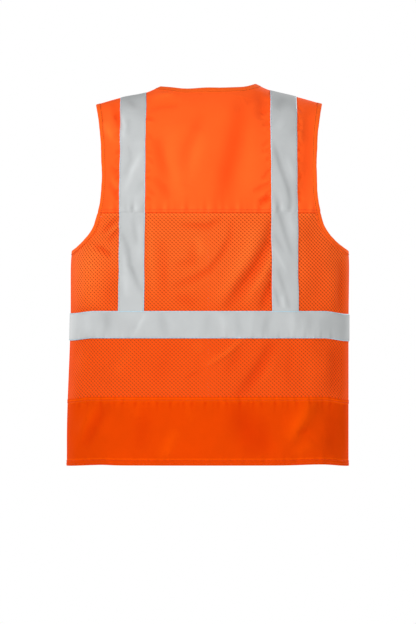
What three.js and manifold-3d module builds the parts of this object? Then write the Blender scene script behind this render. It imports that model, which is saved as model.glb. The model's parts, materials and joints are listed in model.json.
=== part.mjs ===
// A zip-front high-visibility vest, size L, in its worn shape: a back and two fronts that open at the sides.
// Millimetres. +Z is up, +Y is out of the wearer's chest and +X is to the wearer's right. The origin lies midway
// between the two neck points, at the top of the shoulder seams, where the vest rests on the shoulders.
// Cloth pieces are sheets on one worn surface: an oval barrel that closes over the shoulders in an arch.
import * as THREE from "three";
import { mergeVertices } from "three/addons/utils/BufferGeometryUtils.js";
import Module from "manifold-3d";

const wasm = await Module();
wasm.setup();

// ---------------------------------------------------------------- driving dimensions
const halfWidth = 262; // middle of the back to a side seam, seen from behind
const backDepth = 118; // side seam to the middle of the back
const frontDepth = 122; // side seam to the zip
const bodyLength = 707; // neck point to hem
const armholeDepth = 309; // neck point to underarm
const archDrop = 150; // from the shoulder line down to where the cloth hangs straight

const neckHalf = 89; // middle to a neck point
const backNeckDrop = 7;
const frontNeckDrop = 230; // neck point to the top of the zip
const shoulderHalf = 211; // middle to a shoulder tip
const shoulderSlope = 0.29;
const slopeStart = 70; // where the shoulder line starts to fall
const slopeEase = 14;

const armhole = {
  back: { narrow: 201, level: 140, power: 3.7 }, // narrow: middle to the edge, where the armhole is deepest
  front: { narrow: 195, level: 150, power: 4 },
};

const yokeDrop = 237; // neck point to the seam between yoke and mesh
const hemPanelHeight = 125;
const hemPanelDrop = bodyLength - hemPanelHeight; // neck point to the seam between mesh and hem panel

const tapeWidth = 50.8;
const tapeMiddle = 140; // middle of the back to the middle of a shoulder tape, at the shoulder
const tapeFlare = 4; // how much further out a shoulder tape is at its foot
const waistTapeDrop = 420.6;

const cloth = 1.0; // thickness of a cloth panel
const trim = 0.6; // thickness of tape, binding and labels
const layerGap = 0.8; // clearance between one layer and the next
const seamGap = 0.8; // clearance from a seam's line to each piece that meets there
const bindingWidth = 8;
const bindingGap = 1.5; // clearance between a binding and the cloth it wraps, for the facets of tight curves
const zipOpening = 7.5; // zip's middle to the folded edge of a front

const pocketBase = cloth / 2 + layerGap; // where a sewn-on piece's inner face lies
const pocketMargin = 20.6; // waist tape to a lower pocket's lip
const hemMargin = 25; // a lower pocket's foot to the hem
const tapeInner = tapeMiddle - tapeWidth / 2; // the furthest out that a chest piece may reach
const chestInner = 22; // zip's middle to a chest pocket
const chestOuter = tapeInner - 4.6;
const micTab = { inner: 50, outer: tapeInner - 6.6, drop: 176, height: 24, stand: 9 };
const penPocket = { inner: chestInner, outer: chestOuter, drop: 262, height: 130, stand: 9, slots: 3 };
const radioPocket = { inner: chestInner, outer: chestOuter, drop: 262, height: 136, stand: 13, slots: 1 };
const lowerPocketDrop = waistTapeDrop + tapeWidth + pocketMargin;
const lowerPocket = {
  inner: 36,
  outer: 196,
  drop: lowerPocketDrop,
  height: bodyLength - hemMargin - lowerPocketDrop,
  stand: 12,
  slots: 1,
};
const radioFlap = { overhang: 3, rise: 11, height: 52 }; // past the pocket's sides, above its lip
const lowerFlap = { overhang: 3, rise: 11, height: 58 };
const fastener = { thick: 0.8, gap: 0.4, height: 20 }; // a hook or loop patch
const hangerLoop = { width: 64, height: 5.5, drop: 22, stand: 10 };
const careLabel = { width: 38, height: 52, drop: 36 };

const zip = {
  pitch: 3.2,
  toothHeight: 1.25,
  toothThick: 2.4,
  tip: 1.0, // how far a tooth reaches over the middle
  spine: 1.4, // middle to a chain's inner edge, between its teeth
  edge: 3.0, // middle to a chain's outer edge
  tapeEdge: 3.9,
  tapeOuter: 16,
  topMargin: 2, // neck edge to the end of the zip's tape
  bottomMargin: 10, // hem to the end of the zip's tape
  stopHeight: 3,
  boxHeight: 8,
};
const slider = { length: 14, width: 10.4, plate: 1.0, room: 0.4, post: 4, postHalf: 0.9, lip: 0.8, slot: 1.4 };
const bail = { width: 1.6, thick: 0.9, top: 5, bottom: 4, clear: 2.2 };
const pull = { width: 7.5, length: 32, thick: 1.2, slotWidth: 2.6, slotLength: 10 };

// ---------------------------------------------------------------- materials
const finish = (color, roughness, metalness = 0) =>
  new THREE.MeshStandardMaterial({ color, roughness, metalness });
const orangeCloth = finish(0xff6428, 0.8);
const orangeMesh = finish(0xf65f23, 0.85);
const orangeBinding = finish(0xff5a1e, 0.8);
const silverTape = finish(0xc3c6c7, 0.45, 0.1);
const zipTape = finish(0xe8501a, 0.85);
const orangePlastic = finish(0xf0561c, 0.4);
const nickel = finish(0xb9bbbd, 0.3, 1);
const hookAndLoop = finish(0xe9551c, 0.95);
const whiteLabel = finish(0xf2f2ee, 0.6);

// ---------------------------------------------------------------- the worn surface
const BACK = -1;
const FRONT = 1;
const depthOf = (side) => (side === BACK ? backDepth : frontDepth);

// Height of the shoulder line over x. It is 0 at a neck point.
const fall = (x) =>
  shoulderSlope * slopeEase * Math.log(1 + Math.exp((Math.abs(x) - slopeStart) / slopeEase));
const crest = (x) => fall(neckHalf) - fall(x);
const crestTilt = (x) =>
  (-Math.sign(x) * shoulderSlope) / (1 + Math.exp((slopeStart - Math.abs(x)) / slopeEase));

// The angle round the barrel (around) and over the arch (over) of the place seen at x and z.
function angles(x, z) {
  const drop = Math.max(crest(x) - z, 0);
  const over = drop < archDrop ? Math.acos(1 - drop / archDrop) : Math.PI / 2 + (drop - archDrop) / archDrop;
  return { around: Math.asin(THREE.MathUtils.clamp(x / halfWidth, -1, 1)), over };
}

// Point, outward normal and the two directions of travel at a pair of angles. Pieces stop seamGap short of the
// shoulder line and the side seam, where a back piece and a front piece meet.
function place(side, { around, over }) {
  const depth = depthOf(side);
  const limit = Math.acos(seamGap / depth);
  const turn = THREE.MathUtils.clamp(around, -limit, limit);
  const rise = Math.max(over, Math.asin(Math.min(seamGap / (depth * Math.cos(turn)), 1)));
  const hangs = rise > Math.PI / 2;
  const reach = hangs ? 1 : Math.sin(rise);
  const drop = hangs ? archDrop * (1 + rise - Math.PI / 2) : archDrop * (1 - Math.cos(rise));
  const x = halfWidth * Math.sin(turn);
  const at = new THREE.Vector3(x, side * depth * Math.cos(turn) * reach, crest(x) - drop);
  const across = new THREE.Vector3(1, 0, crestTilt(x)).multiplyScalar(halfWidth * Math.cos(turn));
  across.y = -side * depth * Math.sin(turn) * reach;
  const down = new THREE.Vector3(
    0,
    hangs ? 0 : side * depth * Math.cos(turn) * Math.cos(rise),
    -archDrop * (hangs ? 1 : Math.sin(rise)),
  );
  const out = new THREE.Vector3().crossVectors(across, down).multiplyScalar(side).normalize();
  return { at, out, across, down, turn, rise };
}

const offsetPoint = (spot, distance) => spot.at.clone().addScaledVector(spot.out, distance);

// The place at a distance from a spot, measured over the surface in a direction that touches it.
function step(side, spot, direction, distance) {
  const { across, down } = spot;
  const aa = across.dot(across);
  const ad = across.dot(down);
  const dd = down.dot(down);
  const a = across.dot(direction) * distance;
  const d = down.dot(direction) * distance;
  const scale = 1 / (aa * dd - ad * ad);
  const around = spot.turn + (a * dd - d * ad) * scale;
  const over = spot.rise + (d * aa - a * ad) * scale;
  return place(side, { around, over });
}

// ---------------------------------------------------------------- building closed sheets
const steps = (count, from = 0, to = 1) =>
  Array.from({ length: count + 1 }, (_, i) => from + ((to - from) * i) / count);

// A closed solid between two grids of points with the same layout.
function shell(outer, inner) {
  const rows = outer.length;
  const columns = outer[0].length;
  const positions = [...outer.flat(), ...inner.flat()].flatMap((p) => [p.x, p.y, p.z]);
  const index = [];
  const quad = (a, b, c, d) => index.push(a, b, c, a, c, d);
  const top = (i, j) => i * columns + j;
  const low = (i, j) => rows * columns + top(i, j);
  for (let i = 0; i + 1 < rows; i++) {
    for (let j = 0; j + 1 < columns; j++) {
      quad(top(i, j), top(i, j + 1), top(i + 1, j + 1), top(i + 1, j));
      quad(low(i, j), low(i + 1, j), low(i + 1, j + 1), low(i, j + 1));
    }
  }
  for (let j = 0; j + 1 < columns; j++) {
    quad(top(0, j), low(0, j), low(0, j + 1), top(0, j + 1));
    quad(top(rows - 1, j + 1), low(rows - 1, j + 1), low(rows - 1, j), top(rows - 1, j));
  }
  for (let i = 0; i + 1 < rows; i++) {
    quad(top(i + 1, 0), low(i + 1, 0), low(i, 0), top(i, 0));
    quad(top(i, columns - 1), low(i, columns - 1), low(i + 1, columns - 1), top(i + 1, columns - 1));
  }
  return facingOut(positions, index);
}

// The geometry with its faces turned outwards.
function facingOut(positions, index) {
  const point = (i) => new THREE.Vector3(...positions.slice(3 * i, 3 * i + 3));
  let volume = 0;
  for (let i = 0; i < index.length; i += 3) {
    volume += point(index[i]).dot(point(index[i + 1]).cross(point(index[i + 2])));
  }
  if (volume < 0) {
    index.reverse();
  }
  return new THREE.BufferGeometry()
    .setAttribute("position", new THREE.Float32BufferAttribute(positions, 3))
    .setIndex(index);
}

// A sheet over rows of [x, z] places. Each face's distance from the cloth's middle is a number or a function of
// the share of the way along a row and down the rows.
function sheet(side, rows, inner, outer) {
  const grid = (offset) =>
    rows.map((row, i) =>
      row.map(([x, z], j) => {
        const distance =
          typeof offset === "number" ? offset : offset(j / (row.length - 1), i / (rows.length - 1));
        return offsetPoint(place(side, angles(x, z)), distance);
      }),
    );
  return shell(grid(outer), grid(inner));
}

const panelSheet = (side, rows) => sheet(side, rows, -cloth / 2, cloth / 2);
const trimSheet = (side, rows) => sheet(side, rows, pocketBase, pocketBase + trim);

// A folded strip that wraps an edge, open towards the cloth. outwards is 1 or -1, for the side of the path
// on which the cloth ends.
function binding(side, path, outwards) {
  const spots = path.map(([x, z]) => place(side, angles(x, z)));
  const profile = (along, off) => [
    [-bindingWidth, off],
    [along, off],
    [along, -off],
    [-bindingWidth, -off],
  ];
  const grid = (along, off) =>
    spots.map((spot, i) => {
      const before = spots[Math.max(i - 1, 0)].at;
      const after = spots[Math.min(i + 1, spots.length - 1)].at;
      const direction = after.clone().sub(before).cross(spot.out).multiplyScalar(outwards).normalize();
      return profile(along, off).map(([e, n]) => offsetPoint(step(side, spot, direction, e), n));
    });
  const inside = cloth / 2 + bindingGap;
  return shell(grid(layerGap + trim, inside + trim), grid(layerGap, inside));
}

// ---------------------------------------------------------------- joining and cutting
function toSolid(geometry) {
  const bare = geometry.index ? geometry.toNonIndexed() : geometry.clone();
  bare.deleteAttribute("normal");
  bare.deleteAttribute("uv");
  const merged = mergeVertices(bare, 1e-4);
  return new wasm.Manifold(
    new wasm.Mesh({
      numProp: 3,
      vertProperties: merged.attributes.position.array,
      triVerts: new Uint32Array(merged.index.array),
    }),
  );
}

function toGeometry(solid) {
  const mesh = solid.getMesh();
  return new THREE.BufferGeometry()
    .setAttribute("position", new THREE.Float32BufferAttribute(mesh.vertProperties, 3))
    .setIndex([...mesh.triVerts]);
}

const join = (...pieces) => toGeometry(pieces.map(toSolid).reduce((whole, piece) => whole.add(piece)));
const cut = (whole, ...tools) =>
  toGeometry(tools.map(toSolid).reduce((rest, tool) => rest.subtract(tool), toSolid(whole)));

// A block between two corners.
function block(low, high) {
  const size = high.map((value, i) => value - low[i]);
  const middle = high.map((value, i) => (value + low[i]) / 2);
  return new THREE.BoxGeometry(...size).translate(...middle);
}

// An outline in x and z, made thick along y from yLow to yHigh.
function upright(outline, yLow, yHigh) {
  const isShape = outline instanceof THREE.Shape;
  const shape = isShape ? outline : new THREE.Shape(outline.map(([x, z]) => new THREE.Vector2(x, z)));
  return new THREE.ExtrudeGeometry(shape, { depth: yHigh - yLow, bevelEnabled: false, curveSegments: 6 })
    .rotateX(Math.PI / 2)
    .translate(0, yHigh, 0);
}

// ---------------------------------------------------------------- outlines of the cloth
// Middle to the armhole's edge at a height.
function armholeEdge(side, z) {
  const { narrow, level, power } = side === BACK ? armhole.back : armhole.front;
  if (z > -level) {
    return narrow + (shoulderHalf - narrow) * ((z + level) / (level + crest(shoulderHalf))) ** 2;
  }
  const share = Math.min((-level - z) / (armholeDepth - level), 1);
  return narrow + (halfWidth - narrow) * share ** power;
}

const backNeck = (x) => -backNeckDrop * (1 - (x / neckHalf) ** 4);
const frontNeckEdge = (z) =>
  zipOpening + (neckHalf - zipOpening) * Math.max(1 + z / frontNeckDrop, 0) ** 1.1;

// The place on an edge where a row crosses it: edgeAt gives x from z and rowAt gives z from x.
function crossing(edgeAt, rowAt, guess) {
  let x = guess;
  for (let i = 0; i < 60; i++) {
    x = edgeAt(rowAt(x));
  }
  return x;
}

// Shares of the way from the shoulder line down to a drop: even steps over the arch, then even steps below it.
function archLevels(drop) {
  const over = steps(12, 0, Math.PI / 2).map((angle) => archDrop * (1 - Math.cos(angle)));
  return [...over, ...steps(3, archDrop, drop).slice(1)].map((depth) => depth / drop);
}

// x values from one place to another, evenly spaced round the barrel.
function spread(count, from, to) {
  const turn = (x) => Math.asin(THREE.MathUtils.clamp(x / halfWidth, -1, 1));
  return steps(count, turn(from), turn(to)).map((angle) => halfWidth * Math.sin(angle));
}

// Columns from the middle to a side seam, and from the zip to a side seam.
const facetWidth = 22;
const halfColumns = Math.ceil(halfWidth / facetWidth) + 1;
const frontColumns = halfColumns + 1;

const mirrored = (values) => [...values.slice(1).reverse().map((v) => -v), ...values];
const flipRows = (rows, hand) => rows.map((row) => row.map(([x, z]) => [hand * x, z]));

// Rows over the shoulder, each a height over x. On the back they end at the yoke's seam and on a front at the
// top of the zip, and every layer over the shoulder shares them.
const yokeEnd = -yokeDrop + seamGap / 2;
const backTop = (x) => (Math.abs(x) < neckHalf ? backNeck(x) : crest(x));
const shoulderRows = {
  [BACK]: archLevels(-yokeEnd).map((level) => (x) => backTop(x) + level * (yokeEnd - backTop(x))),
  [FRONT]: archLevels(frontNeckDrop).map((level) => (x) => crest(x) + level * (-frontNeckDrop - crest(x))),
};

// Back yoke: from the shoulder lines and the neck edge down to the mesh seam.
const neckColumns = steps(6).map((v) => (neckHalf / shoulderHalf) * Math.sin((v * Math.PI) / 2));
const shoulderColumns = steps(5, neckHalf / shoulderHalf, 1).slice(1);
const yokeColumns = mirrored([...neckColumns, ...shoulderColumns]);
const yokeRows = shoulderRows[BACK].map((height) => {
  const edge = crossing((z) => armholeEdge(BACK, z), height, shoulderHalf);
  return yokeColumns.map((column) => [column * edge, height(column * edge)]);
});

// Drops from one level to the underarm, closer together at the underarm, where the armhole's edge runs level.
const underarmSteps = Math.ceil((halfWidth - armhole.front.narrow) / 7.5);
const underarmDrops = (from) =>
  steps(underarmSteps).map((v) => armholeDepth - (armholeDepth - from) * (1 - v) ** 2);

// Back mesh panel: beside the armholes and down to the hem panel.
const meshLevels = [...underarmDrops(yokeDrop + seamGap / 2), hemPanelDrop - seamGap / 2];
const meshEdge = (drop) => armholeEdge(BACK, -drop);
const meshRows = meshLevels.map((drop) =>
  mirrored(spread(halfColumns, 0, meshEdge(drop))).map((x) => [x, -drop]),
);

const hemPanelRows = [hemPanelDrop + seamGap / 2, bodyLength].map((drop) =>
  mirrored(spread(halfColumns, 0, halfWidth)).map((x) => [x, -drop]),
);

// A front: from the shoulder line to the hem, between the neck and zip edge and the armhole and side edge.
const frontEdges = shoulderRows[FRONT].map((height) => ({
  height,
  neck: crossing(frontNeckEdge, height, neckHalf),
  arm: crossing((z) => armholeEdge(FRONT, z), height, shoulderHalf),
}));
const frontRows = [
  ...frontEdges.map(({ height, neck, arm }) => spread(frontColumns, neck, arm).map((x) => [x, height(x)])),
  ...[...underarmDrops(frontNeckDrop).slice(1), bodyLength].map((drop) =>
    spread(frontColumns, zipOpening, armholeEdge(FRONT, -drop)).map((x) => [x, -drop]),
  ),
];

// Paths of the bound edges.
const last = (row) => row[row.length - 1];
const besideArmhole = meshLevels.filter((drop) => drop <= armholeDepth);
const backArmPath = [...yokeRows.map(last), ...besideArmhole.map((drop) => [meshEdge(drop), -drop])];
const frontArmPath = frontRows.slice(0, -1).map(last);
const backNeckPath = steps(20, 0, Math.PI).map((a) => neckHalf * Math.cos(a)).map((x) => [x, backNeck(x)]);
const bindingEnd = frontNeckDrop - 3; // the neck binding stops above the zip's tape
const frontNeckPath = frontEdges
  .map(({ neck, height }) => Math.max(height(neck), -bindingEnd))
  .map((z) => [frontNeckEdge(z), z]);
const hemPath = (from) => spread(halfColumns, from, halfWidth).map((x) => [x, -bodyLength]);

// ---------------------------------------------------------------- tape
// A shoulder tape runs from the shoulder line to the waist tape and leans outwards on its way down.
function shoulderTape(side, hand) {
  const foot = waistTapeDrop - seamGap;
  const edgeAt = (share) => (z) => {
    const middle = tapeMiddle + (tapeFlare * -z) / foot;
    const slant = Math.atan((depthOf(side) * middle) / (halfWidth * Math.sqrt(halfWidth ** 2 - middle ** 2)));
    return middle + share * tapeWidth * Math.cos(slant);
  };
  const heights = [...shoulderRows[side], ...[armholeDepth, foot].map((drop) => () => -drop)];
  const rows = heights.map((height) =>
    steps(2, -0.5, 0.5).map((share) => {
      const x = crossing(edgeAt(share), height, tapeMiddle);
      return [hand * x, height(x)];
    }),
  );
  return trimSheet(side, rows);
}

const waistRows = (columns) =>
  [waistTapeDrop, waistTapeDrop + tapeWidth].map((drop) => columns.map((x) => [x, -drop]));

// ---------------------------------------------------------------- pockets, flaps and tabs
// How far a sewn-on pouch stands off the cloth: nothing at its sewn edges, full in each slot.
const slotCurve = (slots) => (along) => Math.abs(Math.sin(Math.PI * slots * along)) ** 0.4;
const footCurve = (down) => Math.min(1, (1 - down) / 0.12) ** 0.5;
const pouch = (size) => (along, down) => size.stand * slotCurve(size.slots)(along) * footCurve(down);

const pocketColumns = (size, hand, overhang = 0, count = 12) =>
  spread(count, size.inner - overhang, size.outer + overhang).map((x) => hand * x);

function pocket(size, hand) {
  const downs = [0, 0.45, 0.86, 0.95, 1];
  const rows = downs.map((down) =>
    pocketColumns(size, hand).map((x) => [x, -size.drop - down * size.height]),
  );
  const stand = (along, row) => pocketBase + pouch(size)(along, downs[Math.round(row * (downs.length - 1))]);
  return sheet(FRONT, rows, stand, (along, row) => stand(along, row) + cloth);
}

// A flap hangs from its sewn top edge over the pocket's mouth, with room for the hook and loop patches.
const fastenerRoom = 2 * fastener.thick + 3 * fastener.gap;
const flapStand = (size) => (along) => cloth + fastenerRoom + size.stand * slotCurve(size.slots)(along);

function flap(size, shape, hand) {
  const drops = [size.drop - shape.rise, size.drop - 1, size.drop - shape.rise + shape.height];
  const rows = drops.map((drop) => pocketColumns(size, hand, shape.overhang).map((x) => [x, -drop]));
  const stand = (along, row) => pocketBase + (row === 0 ? 0 : flapStand(size)(along));
  return sheet(FRONT, rows, stand, (along, row) => stand(along, row) + cloth);
}

// A patch of hook or loop between the pocket's face and the flap's, which starts at a distance from the pocket.
function patch(size, shape, hand, start) {
  const low = size.drop - shape.rise + shape.height - 4;
  const middleShare = 0.32; // the patch covers this share of the pocket's width, either side of its middle
  const width = size.outer - size.inner;
  const from = size.inner + width * (0.5 - middleShare / 2);
  const columns = spread(4, from, from + width * middleShare).map((x) => hand * x);
  const rows = [low - fastener.height, low].map((drop) => columns.map((x) => [x, -drop]));
  const turn = (x) => Math.asin(Math.abs(x) / halfWidth);
  const left = turn(size.inner);
  const share = (x) => (turn(x) - left) / (turn(size.outer) - left);
  const face = (along) => {
    const x = columns[Math.round(along * (columns.length - 1))];
    return pocketBase + cloth + size.stand * slotCurve(size.slots)(share(x));
  };
  return sheet(
    FRONT,
    rows,
    (along) => face(along) + start,
    (along) => face(along) + start + fastener.thick,
  );
}

// A strip sewn down at both ends that stands off the cloth between them.
function strap(side, columns, drop, height, stand, inward) {
  const lift = (along) => pocketBase + stand * Math.min(1, 4 * along, 4 * (1 - along)) ** 0.6;
  const rows = [drop - height / 2, drop + height / 2].map((d) => columns.map((x) => [x, -d]));
  return sheet(side, rows, (along) => inward * lift(along), (along) => inward * (lift(along) + trim));
}

// ---------------------------------------------------------------- zip
const zipPlane = frontDepth - cloth / 2 - layerGap - trim / 2; // y of the middle of the zip's tape
const zipTop = -(frontNeckDrop + zip.topMargin);
const zipBottom = -(bodyLength - zip.bottomMargin);
const sliderTop = zipTop - 4 - zip.stopHeight - 0.5;
const chainTop = sliderTop - slider.post - 0.6; // the chain ends below the slider's post, which parts it
const chainBottom = zipBottom + zip.boxHeight + 1;

const zipTapePiece = (hand) =>
  block(
    [Math.min(hand * zip.tapeEdge, hand * zip.tapeOuter), zipPlane - trim / 2, zipBottom],
    [Math.max(hand * zip.tapeEdge, hand * zip.tapeOuter), zipPlane + trim / 2, zipTop],
  );

// One side's teeth on their spine. The left side's teeth sit half a pitch lower, between the right side's.
function teeth(hand) {
  const outline = [[hand * zip.edge, chainBottom]];
  const half = zip.toothHeight / 2;
  const first = chainBottom + (hand > 0 ? 0.5 : 1) * zip.pitch;
  outline.push([hand * zip.spine, chainBottom]);
  for (let z = first; z + half < chainTop; z += zip.pitch) {
    outline.push([hand * zip.spine, z - half], [-hand * zip.tip, z - half]);
    outline.push([-hand * zip.tip, z + half], [hand * zip.spine, z + half]);
  }
  outline.push([hand * zip.spine, chainTop], [hand * zip.edge, chainTop]);
  return upright(outline, zipPlane - zip.toothThick / 2, zipPlane + zip.toothThick / 2);
}

const topStop = (hand) =>
  block(
    [Math.min(hand * zip.spine, hand * (zip.edge + 0.5)), zipPlane - zip.toothThick / 2, sliderTop + 0.5],
    [
      Math.max(hand * zip.spine, hand * (zip.edge + 0.5)),
      zipPlane + zip.toothThick / 2,
      sliderTop + 0.5 + zip.stopHeight,
    ],
  );

// The pin is on the left side and slides down into the box, which is fixed to the right side.
const pinTop = chainBottom - 0.4;
const pinPiece = () =>
  block([-2.8, zipPlane - 0.8, zipBottom + 2], [-zip.spine, zipPlane + 0.8, pinTop]);

function boxPiece() {
  const half = zip.tapeEdge - 0.3;
  const body = block([-half, zipPlane - 2, zipBottom], [half, zipPlane + 2, zipBottom + zip.boxHeight]);
  const socketLow = [-2.8 - 0.35, zipPlane - 1.15, zipBottom + 1.6];
  const socket = block(socketLow, [-zip.spine + 0.35, zipPlane + 1.15, 0]);
  return cut(body, socket);
}

// Slider: two plates held together by a post at the top, lips that leave a slot for each tape, and a bail.
const channel = zip.toothThick / 2 + slider.room;
const plateFace = zipPlane + channel + slider.plate;
const sliderBottom = sliderTop - slider.length;

function sliderPiece() {
  const half = slider.width / 2;
  const shape = new THREE.Shape()
    .moveTo(-half, sliderTop - 2)
    .quadraticCurveTo(-half, sliderTop, -half + 2, sliderTop)
    .lineTo(half - 2, sliderTop)
    .quadraticCurveTo(half, sliderTop, half, sliderTop - 2)
    .lineTo(half, sliderBottom + 1)
    .lineTo(half - 1, sliderBottom)
    .lineTo(-half + 1, sliderBottom)
    .lineTo(-half, sliderBottom + 1);
  const plates = [zipPlane + channel, -zipPlane + channel].map((y, i) =>
    upright(shape, i ? -y - slider.plate : y, i ? -y : y + slider.plate),
  );
  const post = block(
    [-slider.postHalf, zipPlane - channel - 0.2, sliderTop - slider.post],
    [slider.postHalf, zipPlane + channel + 0.2, sliderTop - 0.5],
  );
  const lips = [-1, 1].flatMap((hand) =>
    [-1, 1].map((face) => {
      const x = [hand * (half - slider.lip), hand * half].sort((a, b) => a - b);
      const reach = [slider.slot / 2, channel + 0.2];
      const y = reach.map((out) => zipPlane + face * out).sort((a, b) => a - b);
      return block([x[0], y[0], sliderBottom + 1.2], [x[1], y[1], sliderTop - 2.2]);
    }),
  );
  const reach = plateFace + bail.clear + bail.thick;
  const arch = block(
    [-bail.width / 2, plateFace - 0.3, bailLow - bail.thick],
    [bail.width / 2, reach, bailHigh + bail.thick],
  );
  const gap = block([-bail.width, plateFace - 0.5, bailLow], [bail.width, plateFace + bail.clear, bailHigh]);
  return join(...plates, post, ...lips, cut(arch, gap));
}

const sliderMiddle = (sliderTop + sliderBottom) / 2;
const bailHigh = sliderMiddle + bail.top - 1;
const bailLow = sliderMiddle - bail.bottom + 1;
const pullAxis = { y: plateFace + bail.clear / 2 + 0.1, z: bailHigh - 1.4 };

// The pull hangs from a bar under the bail. Its slot lets the bail through in every position.
function pullPiece() {
  const half = pull.width / 2;
  const top = pullAxis.z + pull.thick / 2;
  const shape = new THREE.Shape()
    .moveTo(-half, top - 1.5)
    .quadraticCurveTo(-half, top, -half + 1.5, top)
    .lineTo(half - 1.5, top)
    .quadraticCurveTo(half, top, half, top - 1.5)
    .lineTo(half - 0.8, top - pull.length + 3)
    .quadraticCurveTo(half - 0.8, top - pull.length, 0, top - pull.length)
    .quadraticCurveTo(-half + 0.8, top - pull.length, -half + 0.8, top - pull.length + 3);
  const slotTop = top - pull.thick;
  const slot = block(
    [-pull.slotWidth / 2, pullAxis.y - pull.thick, slotTop - pull.slotLength],
    [pull.slotWidth / 2, pullAxis.y + pull.thick, slotTop],
  );
  return cut(upright(shape, pullAxis.y - pull.thick / 2, pullAxis.y + pull.thick / 2), slot);
}

// ---------------------------------------------------------------- assembly
const vest = new THREE.Group();
const add = (name, geometry, material) => {
  const mesh = new THREE.Mesh(geometry, material);
  mesh.name = name;
  vest.add(mesh);
};

add("back_yoke", panelSheet(BACK, yokeRows), orangeCloth);
add("back_mesh_panel", panelSheet(BACK, meshRows), orangeMesh);
add("back_hem_panel", panelSheet(BACK, hemPanelRows), orangeCloth);
const backColumns = mirrored(spread(halfColumns, 0, halfWidth));
add("back_waist_tape", trimSheet(BACK, waistRows(backColumns)), silverTape);
add("back_neck_binding", binding(BACK, backNeckPath, 1), orangeBinding);
const backHemPath = backColumns.map((x) => [x, -bodyLength]);
add("back_hem_binding", binding(BACK, backHemPath, 1), orangeBinding);
const loopColumns = spread(8, -hangerLoop.width / 2, hangerLoop.width / 2);
const loopDrop = hangerLoop.drop + backNeckDrop;
add("hanger_loop", strap(BACK, loopColumns, loopDrop, hangerLoop.height, hangerLoop.stand, -1), orangeBinding);
const labelColumns = spread(2, -careLabel.width / 2, careLabel.width / 2);
const labelTop = careLabel.drop + backNeckDrop;
const labelDrops = steps(2, labelTop, labelTop + careLabel.height);
const labelRows = labelDrops.map((drop) => labelColumns.map((x) => [x, -drop]));
add("care_label", sheet(BACK, labelRows, -pocketBase, -pocketBase - trim), whiteLabel);

const hookStart = 2 * fastener.gap + fastener.thick; // from a pocket's face to its flap's hooks
for (const [hand, word] of [[1, "right"], [-1, "left"]]) {
  add("back_tape_" + word, shoulderTape(BACK, hand), silverTape);
  add("back_armhole_binding_" + word, binding(BACK, flipRows([backArmPath], hand)[0], -hand), orangeBinding);

  add("front_panel_" + word, panelSheet(FRONT, flipRows(frontRows, hand)), orangeCloth);
  add("front_tape_" + word, shoulderTape(FRONT, hand), silverTape);
  const waistColumns = spread(halfColumns - 1, zipOpening, halfWidth);
  add("front_waist_tape_" + word, trimSheet(FRONT, flipRows(waistRows(waistColumns), hand)), silverTape);
  add("front_armhole_binding_" + word, binding(FRONT, flipRows([frontArmPath], hand)[0], hand), orangeBinding);
  add("front_neck_binding_" + word, binding(FRONT, flipRows([frontNeckPath], hand)[0], -hand), orangeBinding);
  const frontHemPath = flipRows([hemPath(zipOpening)], hand)[0];
  add("front_hem_binding_" + word, binding(FRONT, frontHemPath, -hand), orangeBinding);

  const tabColumns = spread(8, micTab.inner, micTab.outer).map((x) => hand * x);
  add("mic_tab_" + word, strap(FRONT, tabColumns, micTab.drop, micTab.height, micTab.stand, 1), orangeCloth);

  add("lower_pocket_" + word, pocket(lowerPocket, hand), orangeCloth);
  add("lower_flap_" + word, flap(lowerPocket, lowerFlap, hand), orangeCloth);
  add("lower_pocket_loop_" + word, patch(lowerPocket, lowerFlap, hand, fastener.gap), hookAndLoop);
  add("lower_flap_hook_" + word, patch(lowerPocket, lowerFlap, hand, hookStart), hookAndLoop);

  add("zipper_tape_" + word, zipTapePiece(hand), zipTape);
  add("zipper_teeth_" + word, teeth(hand), orangePlastic);
  add("zipper_top_stop_" + word, topStop(hand), orangePlastic);
}

add("pen_pocket", pocket(penPocket, 1), orangeCloth);
add("radio_pocket", pocket(radioPocket, -1), orangeCloth);
add("radio_flap", flap(radioPocket, radioFlap, -1), orangeCloth);
add("radio_pocket_loop", patch(radioPocket, radioFlap, -1, fastener.gap), hookAndLoop);
add("radio_flap_hook", patch(radioPocket, radioFlap, -1, hookStart), hookAndLoop);
add("zipper_slider", sliderPiece(), nickel);
add("zipper_pull", pullPiece(), nickel);
add("zipper_box", boxPiece(), orangePlastic);
add("zipper_pin", pinPiece(), orangePlastic);

export default vest;
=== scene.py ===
import json

import bpy
import numpy as np
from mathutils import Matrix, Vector


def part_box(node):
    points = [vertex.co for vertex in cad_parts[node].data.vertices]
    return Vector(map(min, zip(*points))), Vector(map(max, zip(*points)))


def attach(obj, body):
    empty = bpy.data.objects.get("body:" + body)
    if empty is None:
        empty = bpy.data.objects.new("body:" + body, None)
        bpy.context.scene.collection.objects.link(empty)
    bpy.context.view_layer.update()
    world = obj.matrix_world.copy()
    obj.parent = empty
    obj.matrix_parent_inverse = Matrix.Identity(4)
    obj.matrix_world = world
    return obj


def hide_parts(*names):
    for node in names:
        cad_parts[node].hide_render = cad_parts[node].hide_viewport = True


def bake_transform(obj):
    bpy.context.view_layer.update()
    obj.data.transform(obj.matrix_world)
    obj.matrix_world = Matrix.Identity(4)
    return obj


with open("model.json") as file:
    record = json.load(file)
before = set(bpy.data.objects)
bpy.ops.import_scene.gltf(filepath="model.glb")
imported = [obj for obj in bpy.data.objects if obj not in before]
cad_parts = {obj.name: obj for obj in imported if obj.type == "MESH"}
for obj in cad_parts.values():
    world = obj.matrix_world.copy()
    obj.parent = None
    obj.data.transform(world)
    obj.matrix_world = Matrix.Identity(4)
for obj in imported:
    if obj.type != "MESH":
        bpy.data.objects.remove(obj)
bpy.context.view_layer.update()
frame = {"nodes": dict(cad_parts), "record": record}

# ---------------------------------------------------------------- the worn surface, in metres
BACK, FRONT = -1, 1
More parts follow.
